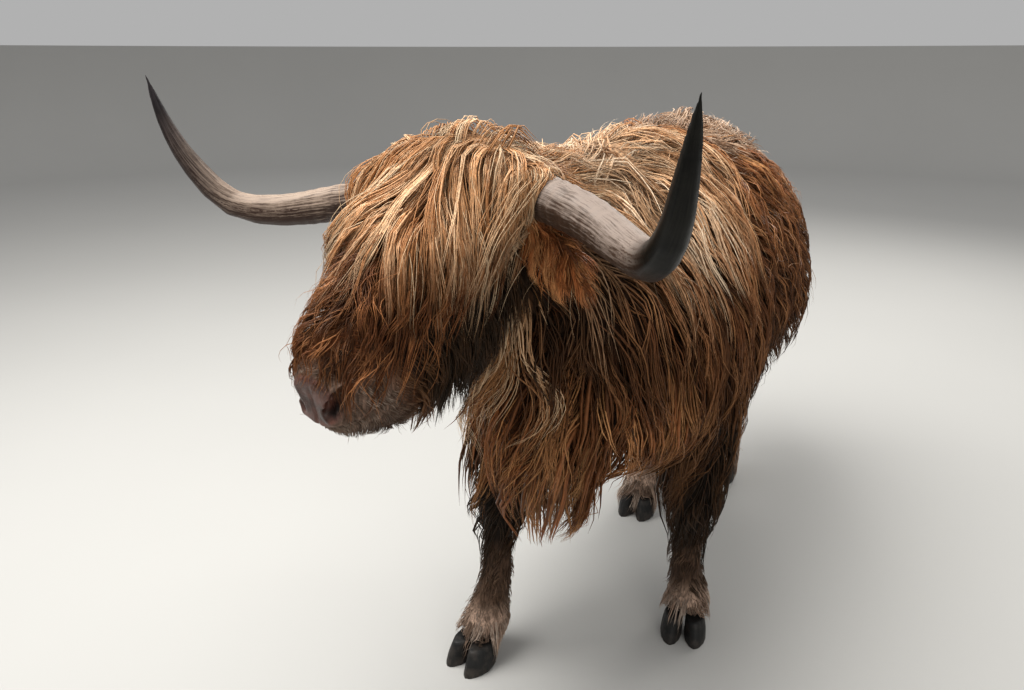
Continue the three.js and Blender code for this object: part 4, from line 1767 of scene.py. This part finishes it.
@dataclass(frozen=True)
class EyeFinish:
    """A wet dark eye with a brown iris and a level pupil."""

    name: str = "eye"

    def make(self) -> bpy.types.Material:
        """Builds the material."""
        board = Board(self.name)
        ring, pupil = board.stored("ring"), board.stored("pupil")
        rays = board.noise(board.spot(), 420.0, 3.0)
        iris = board.blend("MIX", (0.028, 0.011, 0.004), (0.110, 0.048, 0.017), rays)
        white = board.blend("MIX", (0.30, 0.22, 0.18), (0.16, 0.09, 0.07), board.noise(board.spot(), 160.0))
        base = board.blend("MIX", iris, white, board.between(ring, 0.68, 0.76))
        base = board.blend("MIX", base, (0.002, 0.002, 0.003), board.between(pupil, 0.45, 0.55))
        return board.close(
            Base_Color=base, Roughness=0.06, Specular_IOR_Level=0.7, Coat_Weight=1.0, Coat_Roughness=0.02
        )


@dataclass(frozen=True)
class FloorFinish:
    """The studio's pale floor."""

    name: str = "studio_floor"
    pale: Colour = (0.46, 0.455, 0.44)

    def make(self) -> bpy.types.Material:
        """Builds the material."""
        board = Board(self.name)
        cloud = board.noise(board.spot(), 0.8, 3.0)
        base = board.blend("MIX", self.pale, tuple(c * 0.94 for c in self.pale), cloud)
        return board.close(Base_Color=base, Roughness=0.85)


# ---------------------------------------------------------------- horns, claws and eyes


@dataclass
class Horn:
    """One horn, which leaves the poll level and then turns up.

    Attributes:
        side: whose horn.
        droop: how far the base hangs under the other horn's.
        finish: its material.
    """

    nodes: dict[str, bpy.types.Object]
    side: Side
    droop: float
    finish: HornFinish
    voxel: float = 0.0032
    line: tuple[tuple[float, float, float, float], ...] = (
        (0.070, -0.004, 1.164, 0.9),
        (0.190, 0.008, 1.146, 0.9),
        (0.290, 0.041, 1.132, 1.0),
        (0.376, 0.089, 1.117, 1.0),
        (0.452, 0.147, 1.119, 0.75),
        (0.500, 0.190, 1.164, 0.2),
        (0.526, 0.216, 1.236, 0.2),
        (0.545, 0.235, 1.322, 0.0),
    )

    def build(self) -> bpy.types.Object:
        """Makes the horn piece, smooth and faintly ringed."""
        node = f"horn_{self.side.word}"
        mesh = remeshed(node, merged(self.nodes, [node]), self.voxel)
        relaxer = Relaxer(mesh)
        points = relaxer.relax(coords(mesh), 12, 0.5)
        place(mesh, points)
        along, around = self.measure(points)
        ridge = np.sin(along * 150.0 + np.sin(along * 31.0) * 2.0) * ease(0.55, 0.20, along)
        swell = 0.0011 + 0.0009 * ridge + 0.0004 * np.sin(around * 6.0 * math.pi + along * 9.0)
        place(mesh, points + normals(mesh) * (swell * ease(1.0, 0.93, along))[:, None])
        write_value(mesh, "along", along)
        write_value(mesh, "around", around)
        # the upward facing of each place, which the horn's material turns into painted light on top and
        # painted shade underneath
        write_value(mesh, "top", normals(mesh)[:, 2] * 0.5 + 0.5)
        piece = show(node, smooth_shaded(mesh))
        piece.name = f"{node}_sheath"
        piece.data.materials.append(self.finish.make())
        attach(piece, BODY)
        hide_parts(node)
        return piece

    def measure(self, points: np.ndarray) -> tuple[np.ndarray, np.ndarray]:
        """How far along and how far round the horn each point lies, both from 0 to 1."""
        poll = np.array([HEAD.poll[0], HEAD.poll[1], 0.0])
        line = np.array(
            [
                poll + HEAD.left * left * self.side.value + HEAD.facing * ahead
                + UP * (up - self.droop * share)
                for left, ahead, up, share in self.line
            ]
        )
        for _ in range(3):
            cut = np.stack([mix(line[:-1], line[1:], 0.25), mix(line[:-1], line[1:], 0.75)], 1).reshape(-1, 3)
            line = np.concatenate([line[:1], cut, line[-1:]])
        run = np.concatenate([[0.0], np.cumsum(np.linalg.norm(np.diff(line, axis=0), axis=1))])
        best = np.full(len(points), 9.0)
        along, around = np.zeros(len(points)), np.zeros(len(points))
        for k in range(len(line) - 1):
            step = line[k + 1] - line[k]
            t = np.clip((points - line[k]) @ step / (step @ step), 0.0, 1.0)
            away = points - line[k] - t[:, None] * step
            gap = np.linalg.norm(away, axis=1)
            near = gap < best
            frame = unit(np.cross(step, HEAD.facing))
            other = unit(np.cross(frame, step))
            turn = np.arctan2(away @ frame, away @ other) / (2.0 * math.pi) + 0.5
            best = np.where(near, gap, best)
            along = np.where(near, (run[k] + t * (run[k + 1] - run[k])) / run[-1], along)
            around = np.where(near, turn, around)
        return along, np.abs(around * 2.0 - 1.0)


@dataclass
class Hooves:
    """The claws and dewclaws of one leg, as one piece for each."""

    nodes: dict[str, bpy.types.Object]
    leg: str
    material: bpy.types.Material
    voxel: float = 0.0034
    tuck: float = 0.009

    def shank(self) -> np.ndarray:
        """A point over the big claws' middle, level with the dewclaws."""
        low, high = (np.array(corner) for corner in Hide.claw_box(self.leg))
        return np.array([*((low + high) / 2.0)[:2], 0.11])

    def build(self) -> list[bpy.types.Object]:
        """Makes the four pieces, with flat soles on the floor."""
        pieces = []
        for claw in CLAWS:
            node = f"{self.leg}_{claw}"
            low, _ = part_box(node)
            mesh = remeshed(node, merged(self.nodes, [node]), self.voxel)
            points = Relaxer(mesh).relax(coords(mesh), 4, 0.5)
            if low.z < 0.005:
                sole = points[:, 2] < 0.0045
                points[sole, 2] = 0.0003
            else:
                points = points + unit(self.shank() - points.mean(0)) * self.tuck
            place(mesh, points)
            piece = show(f"{node}_horn", smooth_shaded(mesh))
            piece.data.materials.append(self.material)
            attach(piece, BODY)
            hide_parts(node)
            pieces.append(piece)
        return pieces


@dataclass
class Eye:
    """An eyeball with a slight cornea, behind the lids."""

    side: Side
    material: bpy.types.Material

    def build(self) -> bpy.types.Object:
        """Makes the eyeball piece."""
        shape = bmesh.new()
        bmesh.ops.create_uvsphere(shape, u_segments=56, v_segments=40, radius=EYE_RADIUS)
        mesh = bpy.data.meshes.new(f"eye_{self.side.word}_ball")
        shape.to_mesh(mesh)
        shape.free()
        local = coords(mesh)
        gaze = unit(HEAD.left * self.side.value + 0.35 * HEAD.face_line + 0.12 * HEAD.brow)
        fore = unit(HEAD.face_line - gaze * (HEAD.face_line @ gaze))
        top = np.cross(gaze, fore)
        a, b, c = local @ fore, local @ top, local @ gaze
        ring = np.hypot(a, b) / EYE_RADIUS + (c < 0)
        pupil = ease(1.25, 0.85, np.hypot(a / 0.0075, b / 0.0034)) * (c > 0)
        local = local * (1.0 + 0.05 * bell(ring, 0.5))[:, None]
        place(mesh, local + eye_middle(self.side))
        write_value(mesh, "ring", ring)
        write_value(mesh, "pupil", pupil)
        piece = show(f"eye_{self.side.word}_ball", smooth_shaded(mesh))
        piece.data.materials.append(self.material)
        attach(piece, BODY)
        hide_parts(f"eye_{self.side.word}")
        return piece


# ---------------------------------------------------------------- the coat's pieces


@dataclass(frozen=True)
class Stretch:
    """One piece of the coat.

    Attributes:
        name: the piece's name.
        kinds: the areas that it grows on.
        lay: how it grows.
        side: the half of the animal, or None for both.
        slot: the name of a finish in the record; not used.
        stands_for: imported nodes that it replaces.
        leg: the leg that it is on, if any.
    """

    name: str
    kinds: tuple[Area, ...]
    lay: Lay
    side: Side | None = None
    slot: str = "coat"
    stands_for: tuple[str, ...] = ()
    leg: str = ""


FORELOCK = Lay(
    250, 2180, (0.30, 0.42), 0.0025, 8, 0.80, 0.0034, 0.17, face=0.34, spread=0.38, hem=0.985, trim=0.60,
    layer=(0.45, 0.98), rise=0.10, fellow=0.20, strays=0.02, darkness=0.85, dusk=0.90, tousle=0.12,
)
WISPS = Lay(
    14, 70, (0.40, 0.52), 0.0018, 15, 0.80, 0.0065, 0.19, face=0.26, spread=0.45, hem=0.90, trim=0.60,
    layer=(0.93, 1.0), rise=0.10, fellow=0.3, darkness=0.9, tousle=0.20, tone=0.30, strays=0.0, dusk=0.35,
)
BEARD = Lay(
    70, 560, (0.08, 0.14), 0.0028, 6, 0.6, 0.004, 0.09, back=0.15, face=0.05, layer=(0.5, 1.0), tone=0.05
)
BRIDGE = Lay(
    110, 740, (0.10, 0.18), 0.0023, 9, 0.75, 0.0065, 0.085, fall=0.6, face=1.0, spread=0.20, rise=0.2
)
CHEEK = Lay(180, 700, (0.05, 0.09), 0.0030, 5, 0.5, 0.003, 0.05, face=-0.15, back=0.25)
THROAT = Lay(
    18, 110, (0.26, 0.40), 0.0019, 13, 0.70, 0.0090, 0.17, back=0.55, layer=(0.75, 1.0), rise=0.15,
    darkness=0.7, tousle=0.30, fellow=0.5, tone=-0.05,
)
NAPE = Lay(
    90, 900, (0.16, 0.26), 0.0030, 7, 0.70, 0.0060, 0.15, fall=0.7, back=1.0, spread=0.55,
    layer=(0.5, 0.95), rise=0.12, darkness=0.85, tousle=0.12, tone=0.12,
)
EAR = Lay(
    120, 2050, (0.09, 0.150), 0.0027, 5, 0.50, 0.0060, 0.12, along=0.20, layer=(0.30, 1.0), rise=0.18,
    tousle=0.18,
)
FLUFF = Lay(
    300, 560, (0.030, 0.060), 0.0027, 4, 0.2, 0.0030, 0.06, along=0.35, layer=(0.25, 0.85), rise=0.2,
    tousle=0.35,
)
MUZZLE = Lay(
    400, 3300, (0.012, 0.026), 0.0012, 3, 0.25, 0.0010, 0.03, fall=0.8, face=-0.55, layer=(0.3, 1.0),
    darkness=0.9, tousle=0.25, tone=0.06,
)
MANE = Lay(
    420, 2040, (0.20, 0.33), 0.0035, 8, 0.84, 0.0095, 0.18, back=0.12, spread=1.0, rise=0.22,
    layer=(0.30, 1.0), tousle=0.18,
)
BREAST = Lay(200, 1620, (0.24, 0.40), 0.0034, 8, 0.80, 0.0100, 0.18, back=0.05, tone=0.14, layer=(0.30, 1.0))
# painted shade: this curtain under the breast's locks is darker than its area
CURTAIN = Lay(110, 400, (0.26, 0.42), 0.0085, 7, 0.3, 0.0060, 0.18, layer=(0.15, 0.75), tone=-0.25)
FLANK = Lay(
    440, 1680, (0.12, 0.21), 0.0040, 8, 0.84, 0.0090, 0.110, back=0.30, spread=0.8, rise=0.28,
    layer=(0.30, 1.0), tousle=0.28, tone=-0.12,
)
BACK = Lay(
    600, 2450, (0.040, 0.085), 0.0036, 4, 0.5, 0.0055, 0.060, back=0.45, spread=0.7, rise=0.35,
    darkness=0.75, tousle=0.50, layer=(0.15, 0.65),
)
SPINE = Lay(
    200, 800, (0.08, 0.14), 0.0036, 5, 0.5, 0.0060, 0.090, fall=0.3, back=0.8, spread=0.4, rise=0.3,
    darkness=0.85, tousle=0.35, layer=(0.3, 0.8), tone=0.06,
)
RUMP = Lay(
    280, 1400, (0.11, 0.19), 0.0038, 7, 0.82, 0.0080, 0.110, back=0.20, spread=0.8, rise=0.28,
    layer=(0.30, 1.0), tousle=0.30,
)
BELLY = Lay(90, 600, (0.09, 0.15), 0.0048, 5, 0.5, 0.0060, 0.100)
UPPER_LEG = Lay(110, 560, (0.09, 0.16), 0.0038, 5, 0.7, 0.0050, 0.110, back=0.15)
LOWER_LEG = Lay(
    150, 780, (0.020, 0.036), 0.0026, 3, 0.35, 0.001, 0.03, layer=(0.3, 0.9), rise=0.5, darkness=0.7
)
FETLOCK = Lay(
    90, 640, (0.085, 0.140), 0.0025, 4, 0.45, 0.002, 0.06, fall=1.2, back=-0.22, layer=(0.25, 0.95),
    rise=0.25, darkness=0.7,
)
TAIL = Lay(70, 500, (0.24, 0.40), 0.0038, 8, 0.7, 0.0080, 0.16)
# painted shade: the inner coat under the outer locks is darker than its area
UNDER = Lay(
    120, 850, (0.14, 0.26), 0.0072, 5, 0.35, 0.0050, 0.16, back=0.15, spread=0.9, layer=(0.05, 0.45),
    tone=-0.25,
)
FILL = Lay(
    700, 0, (0.07, 0.14), 0.0038, 5, 0.6, 0.0055, 0.100, back=0.35, spread=0.6, rise=0.25, layer=(0.30, 0.85),
    darkness=0.85, tousle=0.22,
)


class Coat:
    """The whole coat, piece by piece."""

    enough = 3.8
    fill_density = 50000.0
    fill_most = 1150

    def __init__(self, skin: bpy.types.Object, firm: list[bpy.types.Object], hide: Hide) -> None:
        """Prepares the hide, the combs and the hair's material.

        Args:
            skin: the skin.
            firm: the horns and claws, which hair goes round.
            hide: what made the skin, which knows the outlines.
        """
        self.field = Field(skin)
        solids = tree_of(skin.data, *(solid.data for solid in firm))
        self.comb = Comb(solids, hide.outline())
        self.ear_combs = {side: Comb(solids, hide.ear_outline(side)) for side in Side}
        self.barber = Barber(self.field, hide.markings)
        self.material = CoatFinish().make()

    def stretches(self) -> list[Stretch]:
        """Every piece of the coat, from the head to the tail."""
        body = (Area.MANE, Area.BREAST, Area.FLANK, Area.RUMP, Area.BELLY)
        pieces = []
        for side in Side:
            word = side.word
            lead = ("forelock",) if side is Side.LEFT else ()
            pieces += [
                Stretch(f"forelock_{word}", (Area.POLL,), FORELOCK, side, "forelock", lead),
                Stretch(f"nose_bridge_hair_{word}", (Area.BRIDGE, Area.MUZZLE), BRIDGE, side, "forelock"),
                Stretch(f"jaw_beard_{word}", (Area.CHEEK, Area.THROAT), BEARD, side),
                Stretch(f"forelock_wisps_{word}", (Area.POLL,), WISPS, side, "forelock"),
                Stretch(f"throat_locks_{word}", (Area.THROAT,), THROAT, side, "forelock"),
                Stretch(f"cheek_hair_{word}", (Area.CHEEK, Area.THROAT), CHEEK, side),
                Stretch(f"ear_hair_{word}", (Area.EAR,), EAR, side),
                Stretch(f"ear_fluff_{word}", (Area.EAR,), FLUFF, side),
                Stretch(f"mane_{word}", (Area.MANE,), MANE, side),
                Stretch(f"inner_coat_{word}", body, UNDER, side),
                Stretch(f"flank_coat_{word}", (Area.FLANK,), FLANK, side),
            ]
        pieces += [
            Stretch("muzzle_fur", (Area.MUZZLE,), MUZZLE, slot="muzzle"),
            Stretch("breast_coat", (Area.BREAST,), BREAST, stands_for=("breast_hair",)),
            Stretch("breast_under_coat", (Area.BREAST,), CURTAIN),
            Stretch("nape_hair", (Area.NAPE,), NAPE),
            Stretch("back_coat", (Area.BACK,), BACK),
            Stretch("spine_hair", (Area.MANE, Area.FLANK, Area.BACK, Area.RUMP), SPINE),
            Stretch("rump_coat", (Area.RUMP,), RUMP),
            Stretch("belly_coat", (Area.BELLY,), BELLY),
            Stretch("tail_coat", (Area.TAIL,), TAIL, stands_for=("tail_switch",)),
        ]
        for leg in LEGS:
            pieces.append(Stretch(f"{leg}_coat", (Area.UPPER_LEG,), UPPER_LEG, leg=leg))
            pieces.append(Stretch(f"{leg}_fur", (Area.LOWER_LEG,), LOWER_LEG, slot="short_coat", leg=leg))
            pieces.append(Stretch(f"{leg}_fetlock", (Area.LOWER_LEG,), FETLOCK, slot="short_coat", leg=leg))
        return pieces

    def wanted(self, stretch: Stretch) -> np.ndarray:
        """A weight for each triangle of the skin, 0 off this stretch."""
        chosen = np.isin(self.field.area, [kind.value for kind in stretch.kinds]).astype(float)
        middle = self.field.middle
        if stretch.side:
            head = {Area.POLL, Area.BRIDGE, Area.CHEEK, Area.EAR, Area.THROAT, Area.NAPE}
            on_head = head & set(stretch.kinds)
            offset = HEAD.local(middle)[:, 2] if on_head else middle[:, 0] - midline(middle[:, 1])
            chosen *= np.sign(offset) == stretch.side.value
        if stretch.leg:
            others = [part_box(f"{leg}_lower") for leg in LEGS]
            gaps = [sum(((middle[:, k] - (b[0][k] + b[1][k]) / 2.0) ** 2 for k in (0, 1))) for b in others]
            chosen *= np.argmin(gaps, axis=0) == LEGS.index(stretch.leg)
        if stretch.lay is FETLOCK:
            chosen *= middle[:, 2] < 0.118 + 0.045 * np.clip(self.field.facing[:, 1], 0.0, 1.0)
        if stretch.lay is BRIDGE:
            spot = HEAD.local(middle)
            chosen *= (self.field.area != Area.MUZZLE.value) | ((spot[:, 0] < 0.398) & (spot[:, 1] > -0.045))
        if stretch.lay is BEARD:
            chosen *= self.field.facing[:, 2] < -0.15
        if stretch.lay is SPINE:
            chosen *= (self.field.facing[:, 2] > 0.80) & (np.abs(middle[:, 0] - midline(middle[:, 1])) < 0.14)
        return chosen

    def build(self) -> list[bpy.types.Object]:
        """Makes every piece of the coat."""
        pieces = []
        for number, stretch in enumerate(self.stretches()):
            pieces.append(self.grow(stretch, self.wanted(stretch), 4100 + number))
        short = (Area.MUZZLE, Area.LOWER_LEG, Area.BRIDGE, Area.CHEEK, Area.EAR)
        kinds = tuple(kind for kind in Area if kind not in short)
        for number, side in enumerate(Side):
            stretch = Stretch(f"undercoat_{side.word}", kinds, FILL, side)
            bare = self.wanted(stretch) * self.barber.cover.bare(self.enough) ** 2.5
            count = min(int((bare * self.field.size).sum() * self.fill_density), self.fill_most)
            stretch = replace(stretch, lay=replace(FILL, strands=count))
            pieces.append(self.grow(stretch, bare, 4200 + number))
        return pieces

    def grow(self, stretch: Stretch, wanted: np.ndarray, seed: int) -> bpy.types.Object:
        """Makes one piece of the coat.

        Args:
            stretch: which.
            wanted: a weight for each triangle of the skin.
            seed: the start of its chance.

        Returns:
            The piece.
        """
        comb = self.ear_combs[stretch.side] if stretch.kinds == (Area.EAR,) else self.comb
        tresses = self.barber.dress(wanted, stretch.lay, comb, np.random.default_rng(seed))
        piece = Weaver().weave(stretch.name, tresses)
        piece.data.materials.append(self.material)
        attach(piece, BODY)
        if stretch.stands_for:
            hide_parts(*stretch.stands_for)
        mesh = piece.data
        triangles = len(mesh.loops) - 2 * len(mesh.polygons)
        log.info("%s: %d strands, %d triangles", stretch.name, stretch.lay.strands, triangles)
        return piece


# ---------------------------------------------------------------- the studio


@dataclass(frozen=True)
class Lamp:
    """A soft square lamp that points at the middle of the animal."""

    name: str
    place: Triple
    width: float
    power: float
    tint: Colour = (1.0, 1.0, 1.0)

    def build(self) -> None:
        """Hangs the lamp."""
        light = bpy.data.lights.new(self.name, "AREA")
        light.energy, light.size, light.color = self.power, self.width, self.tint
        lamp = bpy.data.objects.new(self.name, light)
        bpy.context.scene.collection.objects.link(lamp)
        lamp.location = self.place
        gaze = Vector((0.0, 0.0, 0.7)) - Vector(self.place)
        lamp.rotation_euler = gaze.to_track_quat("-Z", "Y").to_euler()


@dataclass(frozen=True)
class Studio:
    """A pale floor, soft lamps and the camera."""

    camera_place: Triple = (0.7327, -1.7998, 1.35)
    camera_turn: float = 27.0
    camera_drop: float = 19.93
    lens: float = 28.125
    lamps: tuple[Lamp, ...] = (
        Lamp("sky_lamp", (-1.3, -0.8, 4.2), 3.2, 300.0, (1.0, 0.985, 0.95)),
        Lamp("fill_lamp", (3.4, -3.4, 2.4), 2.8, 60.0, (1.0, 0.97, 0.92)),
        Lamp("rear_lamp", (0.8, 3.8, 3.4), 2.6, 110.0, (1.0, 0.98, 0.94)),
    )

    def set_camera(self) -> None:
        """Puts the camera where the animal is seen from its front left, from a little over its back."""
        lens = bpy.data.cameras.new("camera")
        lens.lens, lens.sensor_width, lens.sensor_fit = self.lens, 36.0, "HORIZONTAL"
        lens.clip_start, lens.clip_end = 0.05, 60.0
        camera = bpy.data.objects.new("camera", lens)
        bpy.context.scene.collection.objects.link(camera)
        camera.location = self.camera_place
        camera.rotation_euler = (math.radians(90.0 - self.camera_drop), 0.0, math.radians(self.camera_turn))
        bpy.context.scene.camera = camera

    def light(self) -> None:
        """Lights the room evenly and hangs the lamps."""
        world = bpy.data.worlds.new("studio")
        world.use_nodes = True
        sky = world.node_tree.nodes["Background"]
        sky.inputs["Color"].default_value = (0.88, 0.88, 0.88, 1.0)
        sky.inputs["Strength"].default_value = 0.5
        bpy.context.scene.world = world
        bpy.context.scene.view_settings.view_transform = "Standard"
        for lamp in self.lamps:
            lamp.build()

    def lay_floor(self) -> None:
        """Spins a wide floor that curves up far from the animal."""
        shape = bmesh.new()
        turns = 96
        rise = [(9.0 + 2.0 * math.sin(a), 2.0 - 2.0 * math.cos(a)) for a in np.linspace(0, 1.3, 9)]
        line = [(0.0, 0.0)] + rise
        verts = [shape.verts.new((r, 0.0, z)) for r, z in line]
        edges = [shape.edges.new(pair) for pair in zip(verts, verts[1:])]
        bmesh.ops.spin(
            shape, geom=verts + edges, cent=(0, 0, 0), axis=(0, 0, 1), dvec=(0, 0, 0),
            angle=2.0 * math.pi, steps=turns, use_merge=True, use_duplicate=False,
        )
        bmesh.ops.remove_doubles(shape, verts=shape.verts, dist=1e-4)
        bmesh.ops.recalc_face_normals(shape, faces=shape.faces)
        mesh = bpy.data.meshes.new("floor")
        shape.to_mesh(mesh)
        shape.free()
        floor = show("floor", smooth_shaded(mesh))
        floor.data.materials.append(FloorFinish().make())


# ---------------------------------------------------------------- building


def main() -> None:
    """Builds the studio and the cow, piece by piece."""
    logging.basicConfig(level=logging.INFO, format="%(message)s")
    studio = Studio()
    studio.set_camera()
    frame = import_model()
    nodes = frame["nodes"]
    studio.light()
    studio.lay_floor()
    hide = Hide(nodes)
    skin = hide.build()
    skin.data.materials.append(SkinFinish().make())
    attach(skin, BODY)
    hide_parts(*FLESH, *EARS)
    log.info("skin: %d faces", len(skin.data.polygons))
    horns = (Horn(nodes, Side.LEFT, 0.0, LEFT_HORN), Horn(nodes, Side.RIGHT, 0.042, RIGHT_HORN))
    sheaths = [horn.build() for horn in horns]
    log.info("horns: %s", ", ".join(sheath.name for sheath in sheaths))
    claw_horn = HoofFinish().make()
    claws = [claw for leg in LEGS for claw in Hooves(nodes, leg, claw_horn).build()]
    log.info("claws: %d", len(claws))
    Coat(skin, sheaths + [claw for claw in claws if "dewclaw" not in claw.name], hide).build()
    wet = EyeFinish().make()
    for side in Side:
        log.info("%s", Eye(side, wet).build().name)


if __name__ == "__main__":
    main()
